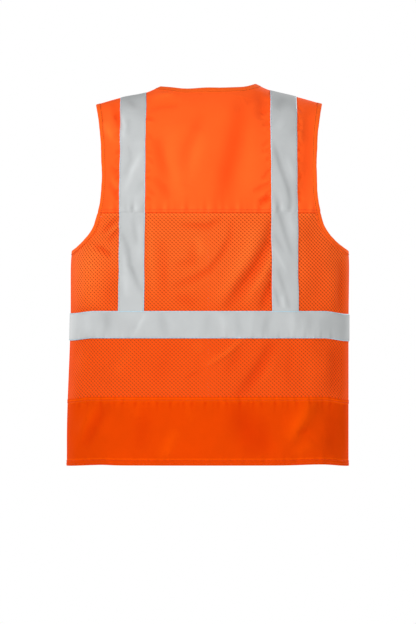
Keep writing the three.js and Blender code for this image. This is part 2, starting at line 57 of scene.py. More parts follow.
HANDS = ("right", 1), ("left", -1)
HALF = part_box("back_mesh_panel")[1][0] - 0.0005  # middle of the back to a side seam
DEPTH = {
    BACK: -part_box("back_mesh_panel")[0][1] - 0.0005,
    FRONT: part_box("front_panel_right")[1][1] - 0.0005,
}
LENGTH = -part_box("back_hem_panel")[0][2]
ARCH = 0.150  # height over which the cloth closes to the shoulder line
NECK = 0.089  # middle to a neck point
SHOULDER = 0.211  # middle to a shoulder tip
SLOPE, SLOPE_START, SLOPE_EASE = 0.29, 0.070, 0.014
NECK_DROP = {BACK: 0.007, FRONT: 0.230}
ZIP_EDGE = 0.0075  # zip's middle to the folded edge of a front
UNDERARM = 0.309
ARMHOLE = {BACK: (0.201, 0.140, 3.7), FRONT: (0.195, 0.150, 4.0)}  # narrowest half width, its drop, power
YOKE_SEAM = 0.237
HEM_SEAM = LENGTH - 0.125
WAIST = (0.4206, 0.4714)  # the waist tape's upper and lower edges
TAPE_WIDTH = 0.0508
TAPE_MIDDLE, TAPE_FLARE = 0.140, 0.004
BINDING = 0.008
CLOTH = 0.0007
EDGE_GAP = 0.00015  # half the gap between pieces that meet at a seam


def fall(x):
    """How far the shoulder line has fallen at x, below where its slope would start."""
    return SLOPE * SLOPE_EASE * np.log1p(np.exp((np.abs(x) - SLOPE_START) / SLOPE_EASE))


def crest(x):
    """Height of the shoulder line at x, from the neck points."""
    return fall(NECK) - fall(x)


def crest_tilt(x):
    return -np.sign(x) * SLOPE / (1 + np.exp((SLOPE_START - np.abs(x)) / SLOPE_EASE))


def angles(x, z):
    """The angle round the barrel and the angle over the arch of the places seen at x and z."""
    drop = np.maximum(crest(x) - z, 0)
    on_arch = np.arccos(np.clip(1 - drop / ARCH, -1, 1))
    over = np.where(drop < ARCH, on_arch, np.pi / 2 + (drop - ARCH) / ARCH)
    return np.arcsin(np.clip(x / HALF, -1, 1)), over


def surface(side, around, over):
    """Points, outward normals and both tangents at arrays of angles, and the angles kept off the seams."""
    depth = DEPTH[side]
    limit = np.arccos(EDGE_GAP / depth)
    around = np.clip(around, -limit, limit)
    over = np.maximum(over, np.arcsin(np.minimum(EDGE_GAP / (depth * np.cos(around)), 1)))
    hangs = over > np.pi / 2
    reach = np.where(hangs, 1, np.sin(over))
    drop = np.where(hangs, ARCH * (1 + over - np.pi / 2), ARCH * (1 - np.cos(over)))
    x = HALF * np.sin(around)
    point = np.stack([x, side * depth * np.cos(around) * reach, crest(x) - drop], -1)
    pace = HALF * np.cos(around)
    ahead = np.stack([pace, -side * depth * np.sin(around) * reach, crest_tilt(x) * pace], -1)
    inwards = np.where(hangs, 0, side * depth * np.cos(around) * np.cos(over))
    down = np.stack([np.zeros_like(x), inwards, -ARCH * np.where(hangs, 1, np.sin(over))], -1)
    out = np.cross(ahead, down) * side
    out /= np.linalg.norm(out, axis=-1, keepdims=True)
    return point, out, ahead, down, around, over


def shifted(side, around, over, direction, distance):
    """Angles of the places at a distance over the surface in a direction that touches it."""
    _, _, u, v, around, over = surface(side, around, over)
    uu, uv, vv = (u * u).sum(-1), (u * v).sum(-1), (v * v).sum(-1)
    a, d = (u * direction).sum(-1) * distance, (v * direction).sum(-1) * distance
    scale = 1 / (uu * vv - uv * uv)
    return around + (a * vv - d * uv) * scale, over + (d * uu - a * uv) * scale


def summed(speed, at):
    """The length covered at each place, from the speeds there."""
    return np.concatenate([[0], np.cumsum((speed[1:] + speed[:-1]) / 2 * np.diff(at))])


def walked_along(points):
    """The length walked at each point of a path."""
    return np.concatenate([[0], np.cumsum(np.linalg.norm(np.diff(points, axis=0), axis=1))])


# Length round the barrel and over the arch, for weaves and widths that don't stretch.
TURNS = np.linspace(-np.pi / 2, np.pi / 2, 721)
RISES = np.linspace(0, 6, 1201)
ROUND, OVER = {}, {}
for side in (BACK, FRONT):
    arc = summed(np.hypot(HALF * np.cos(TURNS), DEPTH[side] * np.sin(TURNS)), TURNS)
    ROUND[side] = arc - arc[len(arc) // 2]
    arch_speed = np.hypot(DEPTH[side] * np.cos(RISES), ARCH * np.sin(RISES))
    OVER[side] = (RISES, summed(np.where(RISES < np.pi / 2, arch_speed, ARCH), RISES))


def cloth_uv(side, around, over):
    """Metres round the barrel and down the cloth."""
    return np.stack([np.interp(around, TURNS, ROUND[side]), -np.interp(over, *OVER[side])], -1)


# ---------------------------------------------------------------- folds, puckers and dents
def smooth(t):
    t = np.clip(t, 0, 1)
    return t * t * (3 - 2 * t)


def bell(distance, width):
    """1 at no distance, falling smoothly to nothing past a width."""
    return np.exp(-((distance / width) ** 2))


def fading(distance, width):
    """1 at no distance, falling off evenly by e in each width."""
    return np.exp(-np.abs(distance) / width)


def fold(x, z, path, width, height):
    """A soft ridge, or a valley where height is negative, along a path of (x, z) in millimetres."""
    path = np.array(path, float) / 1000
    low, high = path.min(0) - 0.003 * width, path.max(0) + 0.003 * width
    near = (x > low[0]) & (x < high[0]) & (z > low[1]) & (z < high[1])
    lift = np.zeros(x.shape)
    x, z = x[near], z[near]
    walked = walked_along(path)
    nearest = np.full(x.shape, 1e9)
    along = np.zeros(x.shape)
    for start, end, before, after in zip(path[:-1], path[1:], walked[:-1], walked[1:]):
        run, rise = end - start
        t = np.clip(((x - start[0]) * run + (z - start[1]) * rise) / (after - before) ** 2, 0, 1)
        gap = np.hypot(x - start[0] - t * run, z - start[1] - t * rise)
        along = np.where(gap < nearest, (before + t * (after - before)) / walked[-1], along)
        nearest = np.minimum(gap, nearest)
    ends = 0.15 + 0.85 * np.clip(np.sin(np.pi * np.clip(along, 0, 1)), 0, 1) ** 0.6
    lift[near] = height / 1000 * ends * bell(nearest * 1000, width)
    return lift


# (path in mm, width in mm, height in mm), as the back of a filled vest lies
BACK_FOLDS = [
    # yoke
    ([(66, -22), (58, -72), (47, -121), (36, -167), (26, -232)], 18, -6.6),
    ([(101, -12), (100, -64)], 13, -4.5),
    ([(70, -30), (100, -14)], 10, -2.5),
    ([(-10, -84), (-24, -135), (-38, -185)], 20, 3.6),
    ([(-8, -52), (-26, -90), (-38, -114), (-44, -151), (-40, -190)], 10, -3.4),
    ([(-70, -72), (-66, -148), (-48, -224)], 18, 3.6),
    ([(-98, -95), (-88, -143), (-76, -180)], 10, -5.0),
    ([(-100, -172), (-84, -192), (-76, -214)], 8, -4.0),
    ([(-108, -37), (-52, -36)], 6, -2.6),
    ([(-106, -20), (-62, -17)], 6, 2.6),
    ([(116, -184), (84, -199)], 5, -3.4),
    ([(117, -196), (92, -210)], 4, 1.6),
    ([(117, -206), (98, -222)], 6, -6.0),
    ([(84, -80), (76, -210)], 20, 2.0),
    ([(-178, -30), (-164, -84)], 10, -5.5),
    ([(-184, -36), (-180, -110)], 14, 3.5),
    ([(-196, -64), (-178, -104)], 9, 5.0),
    ([(-184, -150), (-168, -176)], 6, -3.0),
    ([(-188, -184), (-168, -214)], 6, -3.4),
    ([(-182, -172), (-170, -196)], 6, 2.6),
    ([(188, -30), (182, -210)], 14, -4.2),
    ([(176, -60), (172, -110)], 5, 1.4),
    # upper mesh
    ([(126, -240), (113, -292), (88, -339), (62, -374), (34, -418)], 11, -8.4),
    ([(128, -336), (116, -378), (100, -418)], 10, -8.0),
    ([(121, -312), (104, -350), (84, -384), (72, -408)], 8, 4.5),
    ([(94, -256), (74, -312), (44, -364), (12, -408)], 15, 4.6),
    ([(46, -250), (42, -284), (26, -316), (4, -344), (-24, -360), (-66, -378)], 7, -4.6),
    ([(-50, -262), (0, -263), (26, -250)], 6, -4.2),
    ([(-22, -280), (-8, -320)], 14, 3.6),
    ([(-84, -290), (-83, -395)], 9, -3.4),
    ([(-26, -288), (-30, -330), (-62, -337)], 8, -3.2),
    ([(-60, -395), (-20, -408)], 10, -3.4),
    ([(-108, -250), (-104, -400)], 8, 2.8),
    ([(-166, -244), (-202, -274)], 5.5, -4.2),
    ([(-170, -260), (-198, -284)], 5, 3.6),
    ([(-164, -268), (-194, -291)], 5.5, -3.8),
    ([(-222, -300), (-204, -306), (-184, -319)], 5, -6.0),
    ([(-226, -296), (-230, -416)], 26, 7.6),
    ([(-180, -340), (-188, -410)], 13, -2.6),
    ([(176, -250), (200, -300), (206, -400)], 22, -3.0),
    ([(250, -322), (247, -415)], 8, -5.5),
    # waist
    ([(-194, -424), (-192, -470)], 9, -2.2),
    ([(-140, -470), (-114, -424)], 6, 2.2),
    ([(-88, -424), (-78, -470)], 8, -2.4),
    ([(2, -424), (-4, -470)], 9, -1.6),
    ([(28, -422), (31, -470)], 8, 1.8),
    ([(56, -422), (60, -470)], 8, -1.8),
    ([(80, -422), (84, -470)], 7, 0.8),
    ([(116, -424), (106, -470)], 8, -2.0),
    ([(156, -422), (160, -470)], 9, 2.0),
    ([(194, -424), (188, -470)], 9, -1.6),
    ([(-232, -424), (-230, -470)], 10, 2.0),
    # lower mesh
    ([(124, -474), (102, -517), (84, -545), (54, -584)], 12, -6.6),
    ([(64, -472), (33, -499), (-6, -524)], 7, 6.4),
    ([(-14, -532), (-42, -548)], 3, -1.8),
    ([(66, -490), (36, -534)], 10, -2.6),
    ([(126, -500), (100, -560)], 12, 2.2),
    ([(-28, -478), (-12, -500)], 12, 2.8),
    ([(-70, -480), (-100, -560)], 16, -1.8),
    ([(-140, -484), (-176, -540)], 14, 2.0),
    ([(-236, -480), (-240, -540)], 12, 2.4),
    ([(158, -484), (150, -560)], 10, -1.8),
    ([(196, -490), (190, -570)], 14, 1.8),
    ([(240, -478), (238, -576)], 14, -4.5),
    # hem panel
    ([(-190, -592), (-214, -640), (-232, -676)], 10, -4.0),
    ([(-214, -596), (-238, -650)], 10, 2.0),
    ([(-116, -600), (-128, -680)], 16, -2.6),
    ([(-136, -600), (-130, -622)], 8, 1.8),
    ([(-58, -640), (-88, -698)], 12, 4.0),
    ([(-40, -600), (-28, -628)], 9, 1.4),
    ([(50, -590), (96, -690)], 26, -5.0),
    ([(100, -610), (112, -690)], 14, -2.0),
    ([(190, -586), (174, -620), (150, -664)], 14, 5.6),
    ([(188, -640), (166, -650)], 7, -2.4),
    ([(196, -664), (160, -692)], 12, 2.8),
    ([(236, -590), (232, -690)], 16, -2.4),
    ([(-70, -679), (-78, -694)], 3.5, 1.8),
]

# short creases that the shoulder tapes' stitching draws in the yoke beside them, in millimetres
for count in range(10):
    for sign in (-1, 1):
        top = -44 - 18.5 * count + 5 * np.sin(2.9 * count + sign)
        reach = 13 + 5 * np.sin(1.9 * count + sign)
        foot = top - 8 - 6 * np.cos(2.3 * count - sign)
        BACK_FOLDS.append(([(sign * 117, top), (sign * (117 - reach), foot)], 3.8, -2.1))
        BACK_FOLDS.append(([(sign * 117, top - 8), (sign * (119 - reach), foot - 8)], 3.8, 1.3))
        BACK_FOLDS.append(([(sign * 167, top), (sign * 176, foot)], 3.8, -1.7))

# along the back's shoulder tapes, which crease more finely
TAPE_FOLDS = [
    # left
    ([(-162, -52), (-156, -74), (-160, -98)], 5, 1.6),
    ([(-150, -60), (-150, -92)], 5, -0.8),
    ([(-152, -22), (-132, -34)], 7, -1.0),
    ([(-124, -126), (-142, -162), (-156, -198)], 6, 1.5),
    ([(-150, -112), (-146, -140), (-158, -168)], 5, -0.9),
    ([(-122, -178), (-136, -206)], 7, -0.6),
    ([(-163, -276), (-151, -308), (-148, -336), (-136, -362), (-122, -390)], 5.5, -1.9),
    ([(-141, -246), (-133, -300)], 5.5, -1.1),
    ([(-157, -316), (-155, -352)], 6, 0.9),
    ([(-128, -262), (-130, -330)], 7, 0.8),
    ([(-156, -350), (-152, -396)], 7, 0.9),
    # right
    ([(122, -104), (136, -152), (150, -192), (158, -236)], 5, -1.7),
    ([(126, -68), (140, -78)], 12, 0.7),
    ([(140, -20), (128, -44)], 10, -1.0),
    ([(148, -130), (160, -176)], 6, 0.8),
    ([(122, -196), (134, -240), (146, -282), (158, -318)], 5, -1.7),
    ([(146, -224), (160, -280)], 6, 0.8),
    ([(124, -276), (142, -312)], 4.5, -1.0),
    ([(120, -298), (150, -352)], 4, 0.8),
    ([(130, -340), (146, -392)], 5, -1.2),
    ([(124, -378), (134, -414)], 3.5, -1.4),
    ([(146, -388), (152, -416)], 4, -1.2),
    ([(138, -392), (142, -416)], 3.5, 1.0),
]

FRONT_FOLDS = [
    ([(60, -60), (46, -140), (36, -215)], 14, -2.0),
    ([(150, -120), (172, -210), (188, -290)], 14, 2.2),
    ([(176, -260), (150, -330), (128, -400)], 12, -2.6),
    ([(206, -320), (190, -410)], 14, 2.0),
    ([(232, -360), (224, -420)], 12, -2.0),
    ([(210, -480), (222, -600), (214, -690)], 13, -2.4),
    ([(236, -500), (238, -690)], 12, 1.8),
    ([(140, -424), (136, -470)], 8, -1.2),
    ([(96, -424), (100, -470)], 9, 1.1),
    ([(60, -424), (54, -470)], 8, -1.0),
    ([(190, -424), (196, -470)], 8, -1.3),
    ([(150, -130), (140, -190)], 5, 0.9),
    ([(132, -210), (148, -280)], 5, -1.1),
    ([(150, -300), (138, -380)], 5, 0.9),
]

# waves that the stitching draws along the seams: (period in mm, phase, height in mm)
YOKE_PUCKERS = (17, 0.4, 0.5), (27, 1.1, 0.4), (11.3, 2.0, 0.25)
HEM_SEAM_PUCKERS = (13, 0.9, 0.55), (21.7, 0.2, 0.45), (8.1, 2.6, 0.3)
HEM_PUCKERS = (19, 0.3, 0.5), (31, 2.1, 0.5), (12.4, 1.2, 0.2)
WAIST_FOOT_PUCKERS = (16, 1.9, 0.4), (24.3, 0.7, 0.45), (9.7, 0.1, 0.3)
WAIST_TOP_PUCKERS = (21, 0.5, 0.4), (33, 1.4, 0.4)
TAPE_PUCKERS = (19, 0.8, 0.45), (29, 2.4, 0.4), (12.2, 0.9, 0.2)


def ripple(s, waves):
    """A fixed irregular wave along a length s in metres, in millimetres."""
    return sum(height * np.sin(2 * np.pi * s * 1000 / period + phase) for period, phase, height in waves)


def edge_x(side, z):
    """Middle to the armhole's edge."""
    narrow, level, power = ARMHOLE[side]
    over = narrow + (SHOULDER - narrow) * ((z + level) / (level + crest(np.array(SHOULDER)))) ** 2
    share = np.clip((-level - z) / (UNDERARM - level), 0, 1)
    return np.where(z > -level, over, narrow + (HALF - narrow) * share**power)


def tape_x(side, z, share):
    """x of a shoulder tape at a height, with share from -0.5 at its inner edge to 0.5 at its outer edge."""
    middle = TAPE_MIDDLE + TAPE_FLARE * -z / WAIST[0]
    slant = np.arctan(DEPTH[side] * middle / (HALF * np.sqrt(HALF**2 - middle**2)))
    return middle + share * TAPE_WIDTH * np.cos(slant)


def past_tape(side, x, z):
    """How far a place lies outside the nearer edge of its shoulder tape."""
    half = np.abs(tape_x(side, z, 0.5) - tape_x(side, z, 0))
    return np.abs(np.abs(x) - tape_x(side, z, 0)) - half


def beside_tapes(side, x, z):
    """1 on the cloth beside the shoulder tapes and 0 on the tapes, which hold it flatter."""
    return np.where(z > -WAIST[0] + 0.004, smooth(past_tape(side, x, z) / 0.004 + 0.5), 1)


def placed_folds(side, x, z):
    """The folds of the cloth and of the tapes, in metres."""
    cloth, tape = np.zeros(x.shape), np.zeros(x.shape)
    for path, width, height in BACK_FOLDS if side == BACK else FRONT_FOLDS:
        cloth += fold(x if side == BACK else np.abs(x), z, path, width, height)
    if side == BACK:
        for path, width, height in TAPE_FOLDS:
            tape += fold(x, z, path, width, height)
        beside = beside_tapes(side, x, z)
        return cloth * (0.15 + 0.85 * beside), tape * (1 - beside)
    return cloth, tape


def relief(side, point):
    """How far the cloth stands out of the plain surface at each point."""
    x, z = point[..., 0], point[..., 2]
    cloth, tape = placed_folds(side, x, z)
    high = cloth + tape
    # puckers that the seams and tapes draw up, in millimetres, and the dents that their stitches press
    puckers = ripple(x, HEM_PUCKERS) * fading(z + LENGTH - 0.009, 0.008)
    puckers += ripple(x, WAIST_FOOT_PUCKERS) * fading(z + WAIST[1] - 0.003, 0.007)
    puckers += 0.5 * ripple(x, WAIST_TOP_PUCKERS) * fading(z + WAIST[0], 0.006)
    if side == BACK:
        puckers += ripple(x, YOKE_PUCKERS) * fading(z + YOKE_SEAM, np.where(z > -YOKE_SEAM, 0.014, 0.006))
        puckers += ripple(x, HEM_SEAM_PUCKERS) * fading(z + HEM_SEAM, np.where(z < -HEM_SEAM, 0.012, 0.004))
        puckers -= 1.0 * bell(z + YOKE_SEAM + 0.001, 0.0018)
        puckers -= 0.8 * bell(z + HEM_SEAM + 0.006, 0.0016)
    beside = (z > -WAIST[0]) & (past_tape(side, x, z) > 0)
    for share in (-0.5, 0.5):
        gap = np.abs(np.abs(x) - tape_x(side, z, share))
        drawn = ripple(z + share * 0.03 * np.sign(x), TAPE_PUCKERS)
        puckers += 2.2 * drawn * fading(gap, 0.007) * beside * smooth(gap / 0.002)
    # the cloth is nowhere quite even
    puckers += 0.9 * np.sin(x * 61 + z * 37 + 0.8)
    puckers += 0.75 * np.sin(x * 97 - z * 53 + 2.1)
    puckers += 0.6 * np.sin(x * 41 + z * 113 + 0.3)
    high += puckers / 1000
    # still at the side seams and the shoulder line, where pieces meet, and along the zip
    calm = smooth((HALF - np.abs(x)) / 0.016) * smooth(np.abs(point[..., 1]) / 0.060)
    if side == FRONT:
        calm = calm * smooth((np.abs(x) - 0.016) / 0.03)
    return high * calm


def cavity(side, point):
    """Painted shade in the folds and painted light on the ridges, as a tone for the colour: -1 in the deepest
    and up to 1 on a ridge.
    """
    x, z = point[..., 0], point[..., 2]
    cloth, tape = placed_folds(side, x, z)
    tone = cloth * 1000 / 11 + tape * 1000 / 5
    if side == BACK:
        # painted shade and light along the puckers beside the seams
        puckers = ripple(x, YOKE_PUCKERS) * fading(z + YOKE_SEAM - 0.008, 0.009)
        tone += 0.36 * puckers * (z > -YOKE_SEAM)
        puckers = ripple(x, HEM_SEAM_PUCKERS) * fading(z + HEM_SEAM + 0.010, 0.007)
        tone += 0.30 * puckers * (z < -HEM_SEAM)
        beside = beside_tapes(side, x, z)
        # a painted highlight just above the yoke's turned edge, and a painted shadow just under it
        tone += 0.5 * beside * bell(z + YOKE_SEAM + 0.0035, 0.0018)
        tone -= 1.1 * beside * bell(z + YOKE_SEAM + 0.0006, 0.0009)
        # painted highlights along the hem panel's turned edge and along the hem's fold
        for ridge in (HEM_SEAM + 0.0018, HEM_SEAM + 0.006, LENGTH - 0.0098):
            tone += 1.1 * bell(z + ridge, 0.0012)
    return np.clip(tone, -1, 1)


def settled(side, point):
    """The points again, as the worn vest settles: not quite alike at its two sides."""
    x, z = point[..., 0], point[..., 2]
    # inwards: the sides above the waist and the armholes
    out = np.abs(x) / HALF
    arm = smooth((np.abs(x) - 0.17) / 0.05)
    left = out**3 * 0.006 * (1 - 1.2 * smooth((-z - 0.40) / 0.26))
    left += arm * (0.0055 * bell(z + 0.280, 0.032) + 0.0025 * bell(z + 0.165, 0.05))
    right = -(out**3) * 0.0014 * smooth((z + 0.45) / 0.15)
    right += arm * 0.0045 * bell(z + 0.280, 0.030)
    if side == FRONT:  # the right front's armhole lies further out than it is cut
        ease = smooth((np.abs(x) - 0.165) / 0.022) * smooth((HALF - np.abs(x)) / 0.03)
        right -= 0.008 * ease * bell(z + 0.240, 0.055)
    shift = np.where(x < 0, left, -right)
    # downwards: the shoulders, with the neck held up, the ends of the waist, and the hem held up
    high = smooth((z + 0.12) / 0.10)
    sink = np.where(x < 0, 0.0048, 0.0022) * high * bell(np.abs(x) - 0.118, 0.032)
    sink += 0.0016 * high * smooth((-x - 0.03) / 0.05)
    sink -= high * smooth((0.116 - np.abs(x)) / 0.03) * (0.0016 + 0.0020 * bell(x - NECK, 0.018))
    below = smooth((-z - 0.36) / 0.05) * (1 - 0.7 * smooth((-z - 0.60) / 0.08))
    sink += np.where(x < 0, 0.0042, 0.0056) * smooth((np.abs(x) - 0.215) / 0.047) * below
    sink -= smooth((-z - 0.66) / 0.04) * (0.0010 * bell(x + 0.197, 0.02) + 0.0016 * bell(x - 0.205, 0.04))
    return point + np.stack([shift, np.zeros_like(x), -sink], -1)


def raised(side, around, over, off):
    """Points on the draped cloth at a distance off from its middle."""
    point, out, _, _, around, over = surface(side, around, over)
    return settled(side, point + out * (relief(side, point) + off)[..., None]), out


# ---------------------------------------------------------------- meshes
def new_object(name, verts, faces, uvs, material, smooth_faces=None, **tones):
    """A mesh object. Each of the tones is a number at every point, for its material to read by name."""
    mesh = bpy.data.meshes.new(name)
    mesh.from_pydata(np.asarray(verts, float).tolist(), [], faces)
    mesh.validate()
    if smooth_faces is None or len(smooth_faces) != len(mesh.polygons):
        smooth_faces = [True] * len(mesh.polygons)
    mesh.polygons.foreach_set("use_smooth", smooth_faces)
    if uvs is not None:
        layer = mesh.uv_layers.new(name="cloth")
        corner = np.zeros(len(mesh.loops), np.int32)
        mesh.loops.foreach_get("vertex_index", corner)
        layer.data.foreach_set("uv", np.asarray(uvs, float)[corner].ravel())
    for key, values in tones.items():
        mesh.attributes.new(key, "FLOAT", "POINT").data.foreach_set("value", np.asarray(values, float))
    mesh.update()
    obj = bpy.data.objects.new(name, mesh)
    bpy.context.scene.collection.objects.link(obj)
    mesh.materials.append(material)
    return obj


def grid_quads(rows, columns, keep=None):
    """The corner numbers of a grid's faces, or of those to keep."""
    i, j = np.meshgrid(np.arange(rows - 1), np.arange(columns - 1), indexing="ij")
    a = i * columns + j
    quads = np.stack([a, a + 1, a + columns + 1, a + columns], -1)
    return quads[keep] if keep is not None else quads.reshape(-1, 4)


def slab(name, top, bottom, uv, material, reverse=None, **tones):
    """A closed thin solid between two grids of points, whose bottom face may have its own material."""
    rows, columns = top.shape[:2]
    quads = grid_quads(rows, columns)
    a, b, c = (top.reshape(-1, 3)[quads[:, k]] for k in (0, 1, 3))
    lift = (top - bottom).reshape(-1, 3)[quads[:, 0]]
    if (np.cross(b - a, c - a) * lift).sum() < 0:
        quads = quads[:, ::-1]
    count = rows * columns
    faces = [quads, quads[:, ::-1] + count]
    first_row, last_column = np.arange(columns), np.arange(1, rows) * columns + columns - 1
    last_row = (rows - 1) * columns + np.arange(columns - 2, -1, -1)
    ring = np.concatenate([first_row, last_column, last_row, np.arange(rows - 2, 0, -1) * columns])
    after = np.roll(ring, -1)
    rim = np.stack([ring, after, after + count, ring + count], -1)
    p = np.concatenate([top.reshape(-1, 3), bottom.reshape(-1, 3)])
    middle = p.mean(0)
    n = np.cross(p[rim[:, 1]] - p[rim[:, 0]], p[rim[:, 3]] - p[rim[:, 0]])
    if (n * (p[rim[:, 0]] - middle)).sum() < 0:
        rim = rim[:, ::-1]
    faces.append(rim)
    smooth_faces = [True] * (2 * len(quads)) + [False] * len(rim)
    uvs = np.concatenate([uv.reshape(-1, 2)] * 2)
    tones = {key: np.tile(values.ravel(), 2) for key, values in tones.items()}
    obj = new_object(name, p, np.concatenate(faces).tolist(), uvs, material, smooth_faces, **tones)
    if reverse is not None:
        obj.data.materials.append(reverse)
        index = np.zeros(len(obj.data.polygons), np.int32)
        index[len(quads) : 2 * len(quads)] = 1
        obj.data.polygons.foreach_set("material_index", index)
    return obj


def sheet_on(name, side, x, z, off, thick, material, uv=None, reverse=None):
    """A cloth piece over places x, z. off is the distance of its inner face from the panels' middle."""
    around, over = angles(x, z)
    low, _ = raised(side, around, over, off)
    high, _ = raised(side, around, over, off + thick)
    uv = cloth_uv(side, around, over) if uv is None else uv
    if np.mean(thick) < 0:
        low, high = high, low
    return slab(name, high, low, uv, material, reverse, cavity=cavity(side, surface(side, around, over)[0]))


THREADS = {}  # stitch meshes waiting to be joined, by group


def stitch(group, side, x, z, off, length=0.0026, gap=0.0009):
    """A row of stitches on the cloth along places x, z, where one of the two may be the same all along."""
    x, z = np.broadcast_arrays(np.asarray(x, float), np.asarray(z, float))
    stitch_at(group, *raised(side, *angles(x, z), off), length, gap)


def stitch_at(group, points, out, length=0.0026, gap=0.0009):
    """A row of stitches along points, each a short rounded bar of thread that dips at both ends."""
    radius = 0.00042
    walked = walked_along(points)
    starts = np.arange(gap, walked[-1] - length, length + gap)
    if len(starts) == 0:
        return

    def at(s):
        return np.stack([np.interp(s, walked, points[:, k]) for k in range(3)], -1)

    a, b = at(starts), at(starts + length)
    middle = at(starts + length / 2)
    n = np.stack([np.interp(starts, walked, out[:, k]) for k in range(3)], -1)
    along = (b - a) / np.linalg.norm(b - a, axis=1, keepdims=True)
    across = np.cross(n, along)
    across /= np.linalg.norm(across, axis=1, keepdims=True)
    corners = []
    for share in (0.22, 0.78):
        base = a + (b - a) * share + (middle - (a + b) / 2)
        for u, v in ((-1.0, 0.2), (0, 1.0), (1.0, 0.2)):
            corners.append(base + across * radius * u + n * radius * v)
    verts = np.stack([a - n * radius * 0.6, *corners, b - n * radius * 0.6], 1)
    shape = [(0, 1, 2), (0, 2, 3), (0, 3, 1), (1, 4, 5, 2), (2, 5, 6, 3), (3, 6, 4, 1)]
    shape += [(7, 5, 4), (7, 6, 5), (7, 4, 6)]
    store = THREADS.setdefault(group, ([], []))
    first = sum(len(v) for v in store[0])
    store[0].append(verts.reshape(-1, 3))
    for k in range(len(starts)):
        store[1].extend(tuple(first + 8 * k + i for i in face) for face in shape)


def sew(group, material):
    """Joins a group's stitches into one mesh."""
    verts, faces = THREADS.pop(group)
    return new_object(f"stitching_{group}", np.concatenate(verts), faces, None, material)


def spread(side, count, low, high):
    """x values from low to high, evenly spaced round the barrel."""
    reach = [np.interp(np.arcsin(x / HALF), TURNS, ROUND[side]) for x in (low, high)]
    return HALF * np.sin(np.interp(np.linspace(*reach, count), ROUND[side], TURNS))


def crossing(edge_at, row_at, guess):
    """x where a row of places meets an edge, found from a guess by turns."""
    x = np.asarray(guess, float)
    for _ in range(60):
        x = edge_at(row_at(x))
    return x


def row_between(top, foot, level):
    """The height at x of a row that is a share of the way down from a top edge to a level foot."""
    return lambda x: top(x) + level * (foot - top(x))


def over_levels(drop, count):
    """Shares of the way from the shoulder line down to a drop, evenly spaced over the cloth."""
    arc = np.linspace(0, np.pi / 2 + (drop - ARCH) / ARCH, count)
    depth = np.where(arc < np.pi / 2, ARCH * (1 - np.cos(arc)), ARCH + ARCH * (arc - np.pi / 2))
    return np.minimum(depth / drop, 1)


# ---------------------------------------------------------------- materials
def material(name, color, rough=0.8, metal=0.0):
    """A plain material, with its tree and its shader."""
    mat = bpy.data.materials.new(name)
    mat.use_nodes = True
    shader = mat.node_tree.nodes["Principled BSDF"]
    shader.inputs["Base Color"].default_value = (*color, 1)
    shader.inputs["Roughness"].default_value = rough
    shader.inputs["Metallic"].default_value = metal
    return mat, mat.node_tree, shader


def node(tree, kind, **values):
    made = tree.nodes.new(kind)
    for key, value in values.items():
        if key in made.inputs.keys():
            made.inputs[key].default_value = value
        else:
            setattr(made, key, value)
    return made


def link(tree, source, target):
    tree.links.new(source, target)


def feed(tree, target, value):
    """Gives an input a number, a colour, or what another node puts out."""
    if isinstance(value, (int, float)):
        target.default_value = value
    elif isinstance(value, tuple):
        target.default_value = (*value, 1)
    else:
        link(tree, value, target)


def math(tree, operation, a, b=None):
    made = node(tree, "ShaderNodeMath", operation=operation)
    feed(tree, made.inputs[0], a)
    if b is not None:
        feed(tree, made.inputs[1], b)
    return made.outputs[0]


def mix_color(tree, factor, a, b):
    made = node(tree, "ShaderNodeMix", data_type="RGBA")
    for index, value in ((0, factor), (6, a), (7, b)):
        feed(tree, made.inputs[index], value)
    return made.outputs[2]


def bands(tree, direction, scale, distortion):
    made = node(tree, "ShaderNodeTexWave", wave_type="BANDS", bands_direction=direction)
    made.inputs["Scale"].default_value = scale
    made.inputs["Distortion"].default_value = distortion
    return made


def rough_up(tree, shader, height, strength, distance):
    """Fine bumps from a height."""
    bump = node(tree, "ShaderNodeBump", Strength=strength, Distance=distance)
    link(tree, height, bump.inputs["Height"])
    link(tree, bump.outputs["Normal"], shader.inputs["Normal"])


def worn_roughness(tree, shader, texture, low, high):
    """Roughness that wanders between two values."""
    wander = node(tree, "ShaderNodeMapRange")
    wander.inputs["To Min"].default_value = low
    wander.inputs["To Max"].default_value = high
    link(tree, texture.outputs["Fac"], wander.inputs["Value"])
    link(tree, wander.outputs[0], shader.inputs["Roughness"])


def tint(color, gain):
    return tuple(min(1.0, channel * gain) for channel in color)


def shaded_folds(tree, color, depths):
    """Colour with painted shade in the folds and painted light on the ridges, by a depth for each of its
    three channels.
    """
    tone = node(tree, "ShaderNodeAttribute", attribute_name="cavity")
    gain = node(tree, "ShaderNodeVectorMath", operation="MULTIPLY_ADD")
    link(tree, tone.outputs["Fac"], gain.inputs[0])
    gain.inputs[1].default_value = depths
    gain.inputs[2].default_value = (1, 1, 1)
    scaled = node(tree, "ShaderNodeVectorMath", operation="MULTIPLY")
    link(tree, color, scaled.inputs[0])
    link(tree, gain.outputs[0], scaled.inputs[1])
    return scaled.outputs[0]


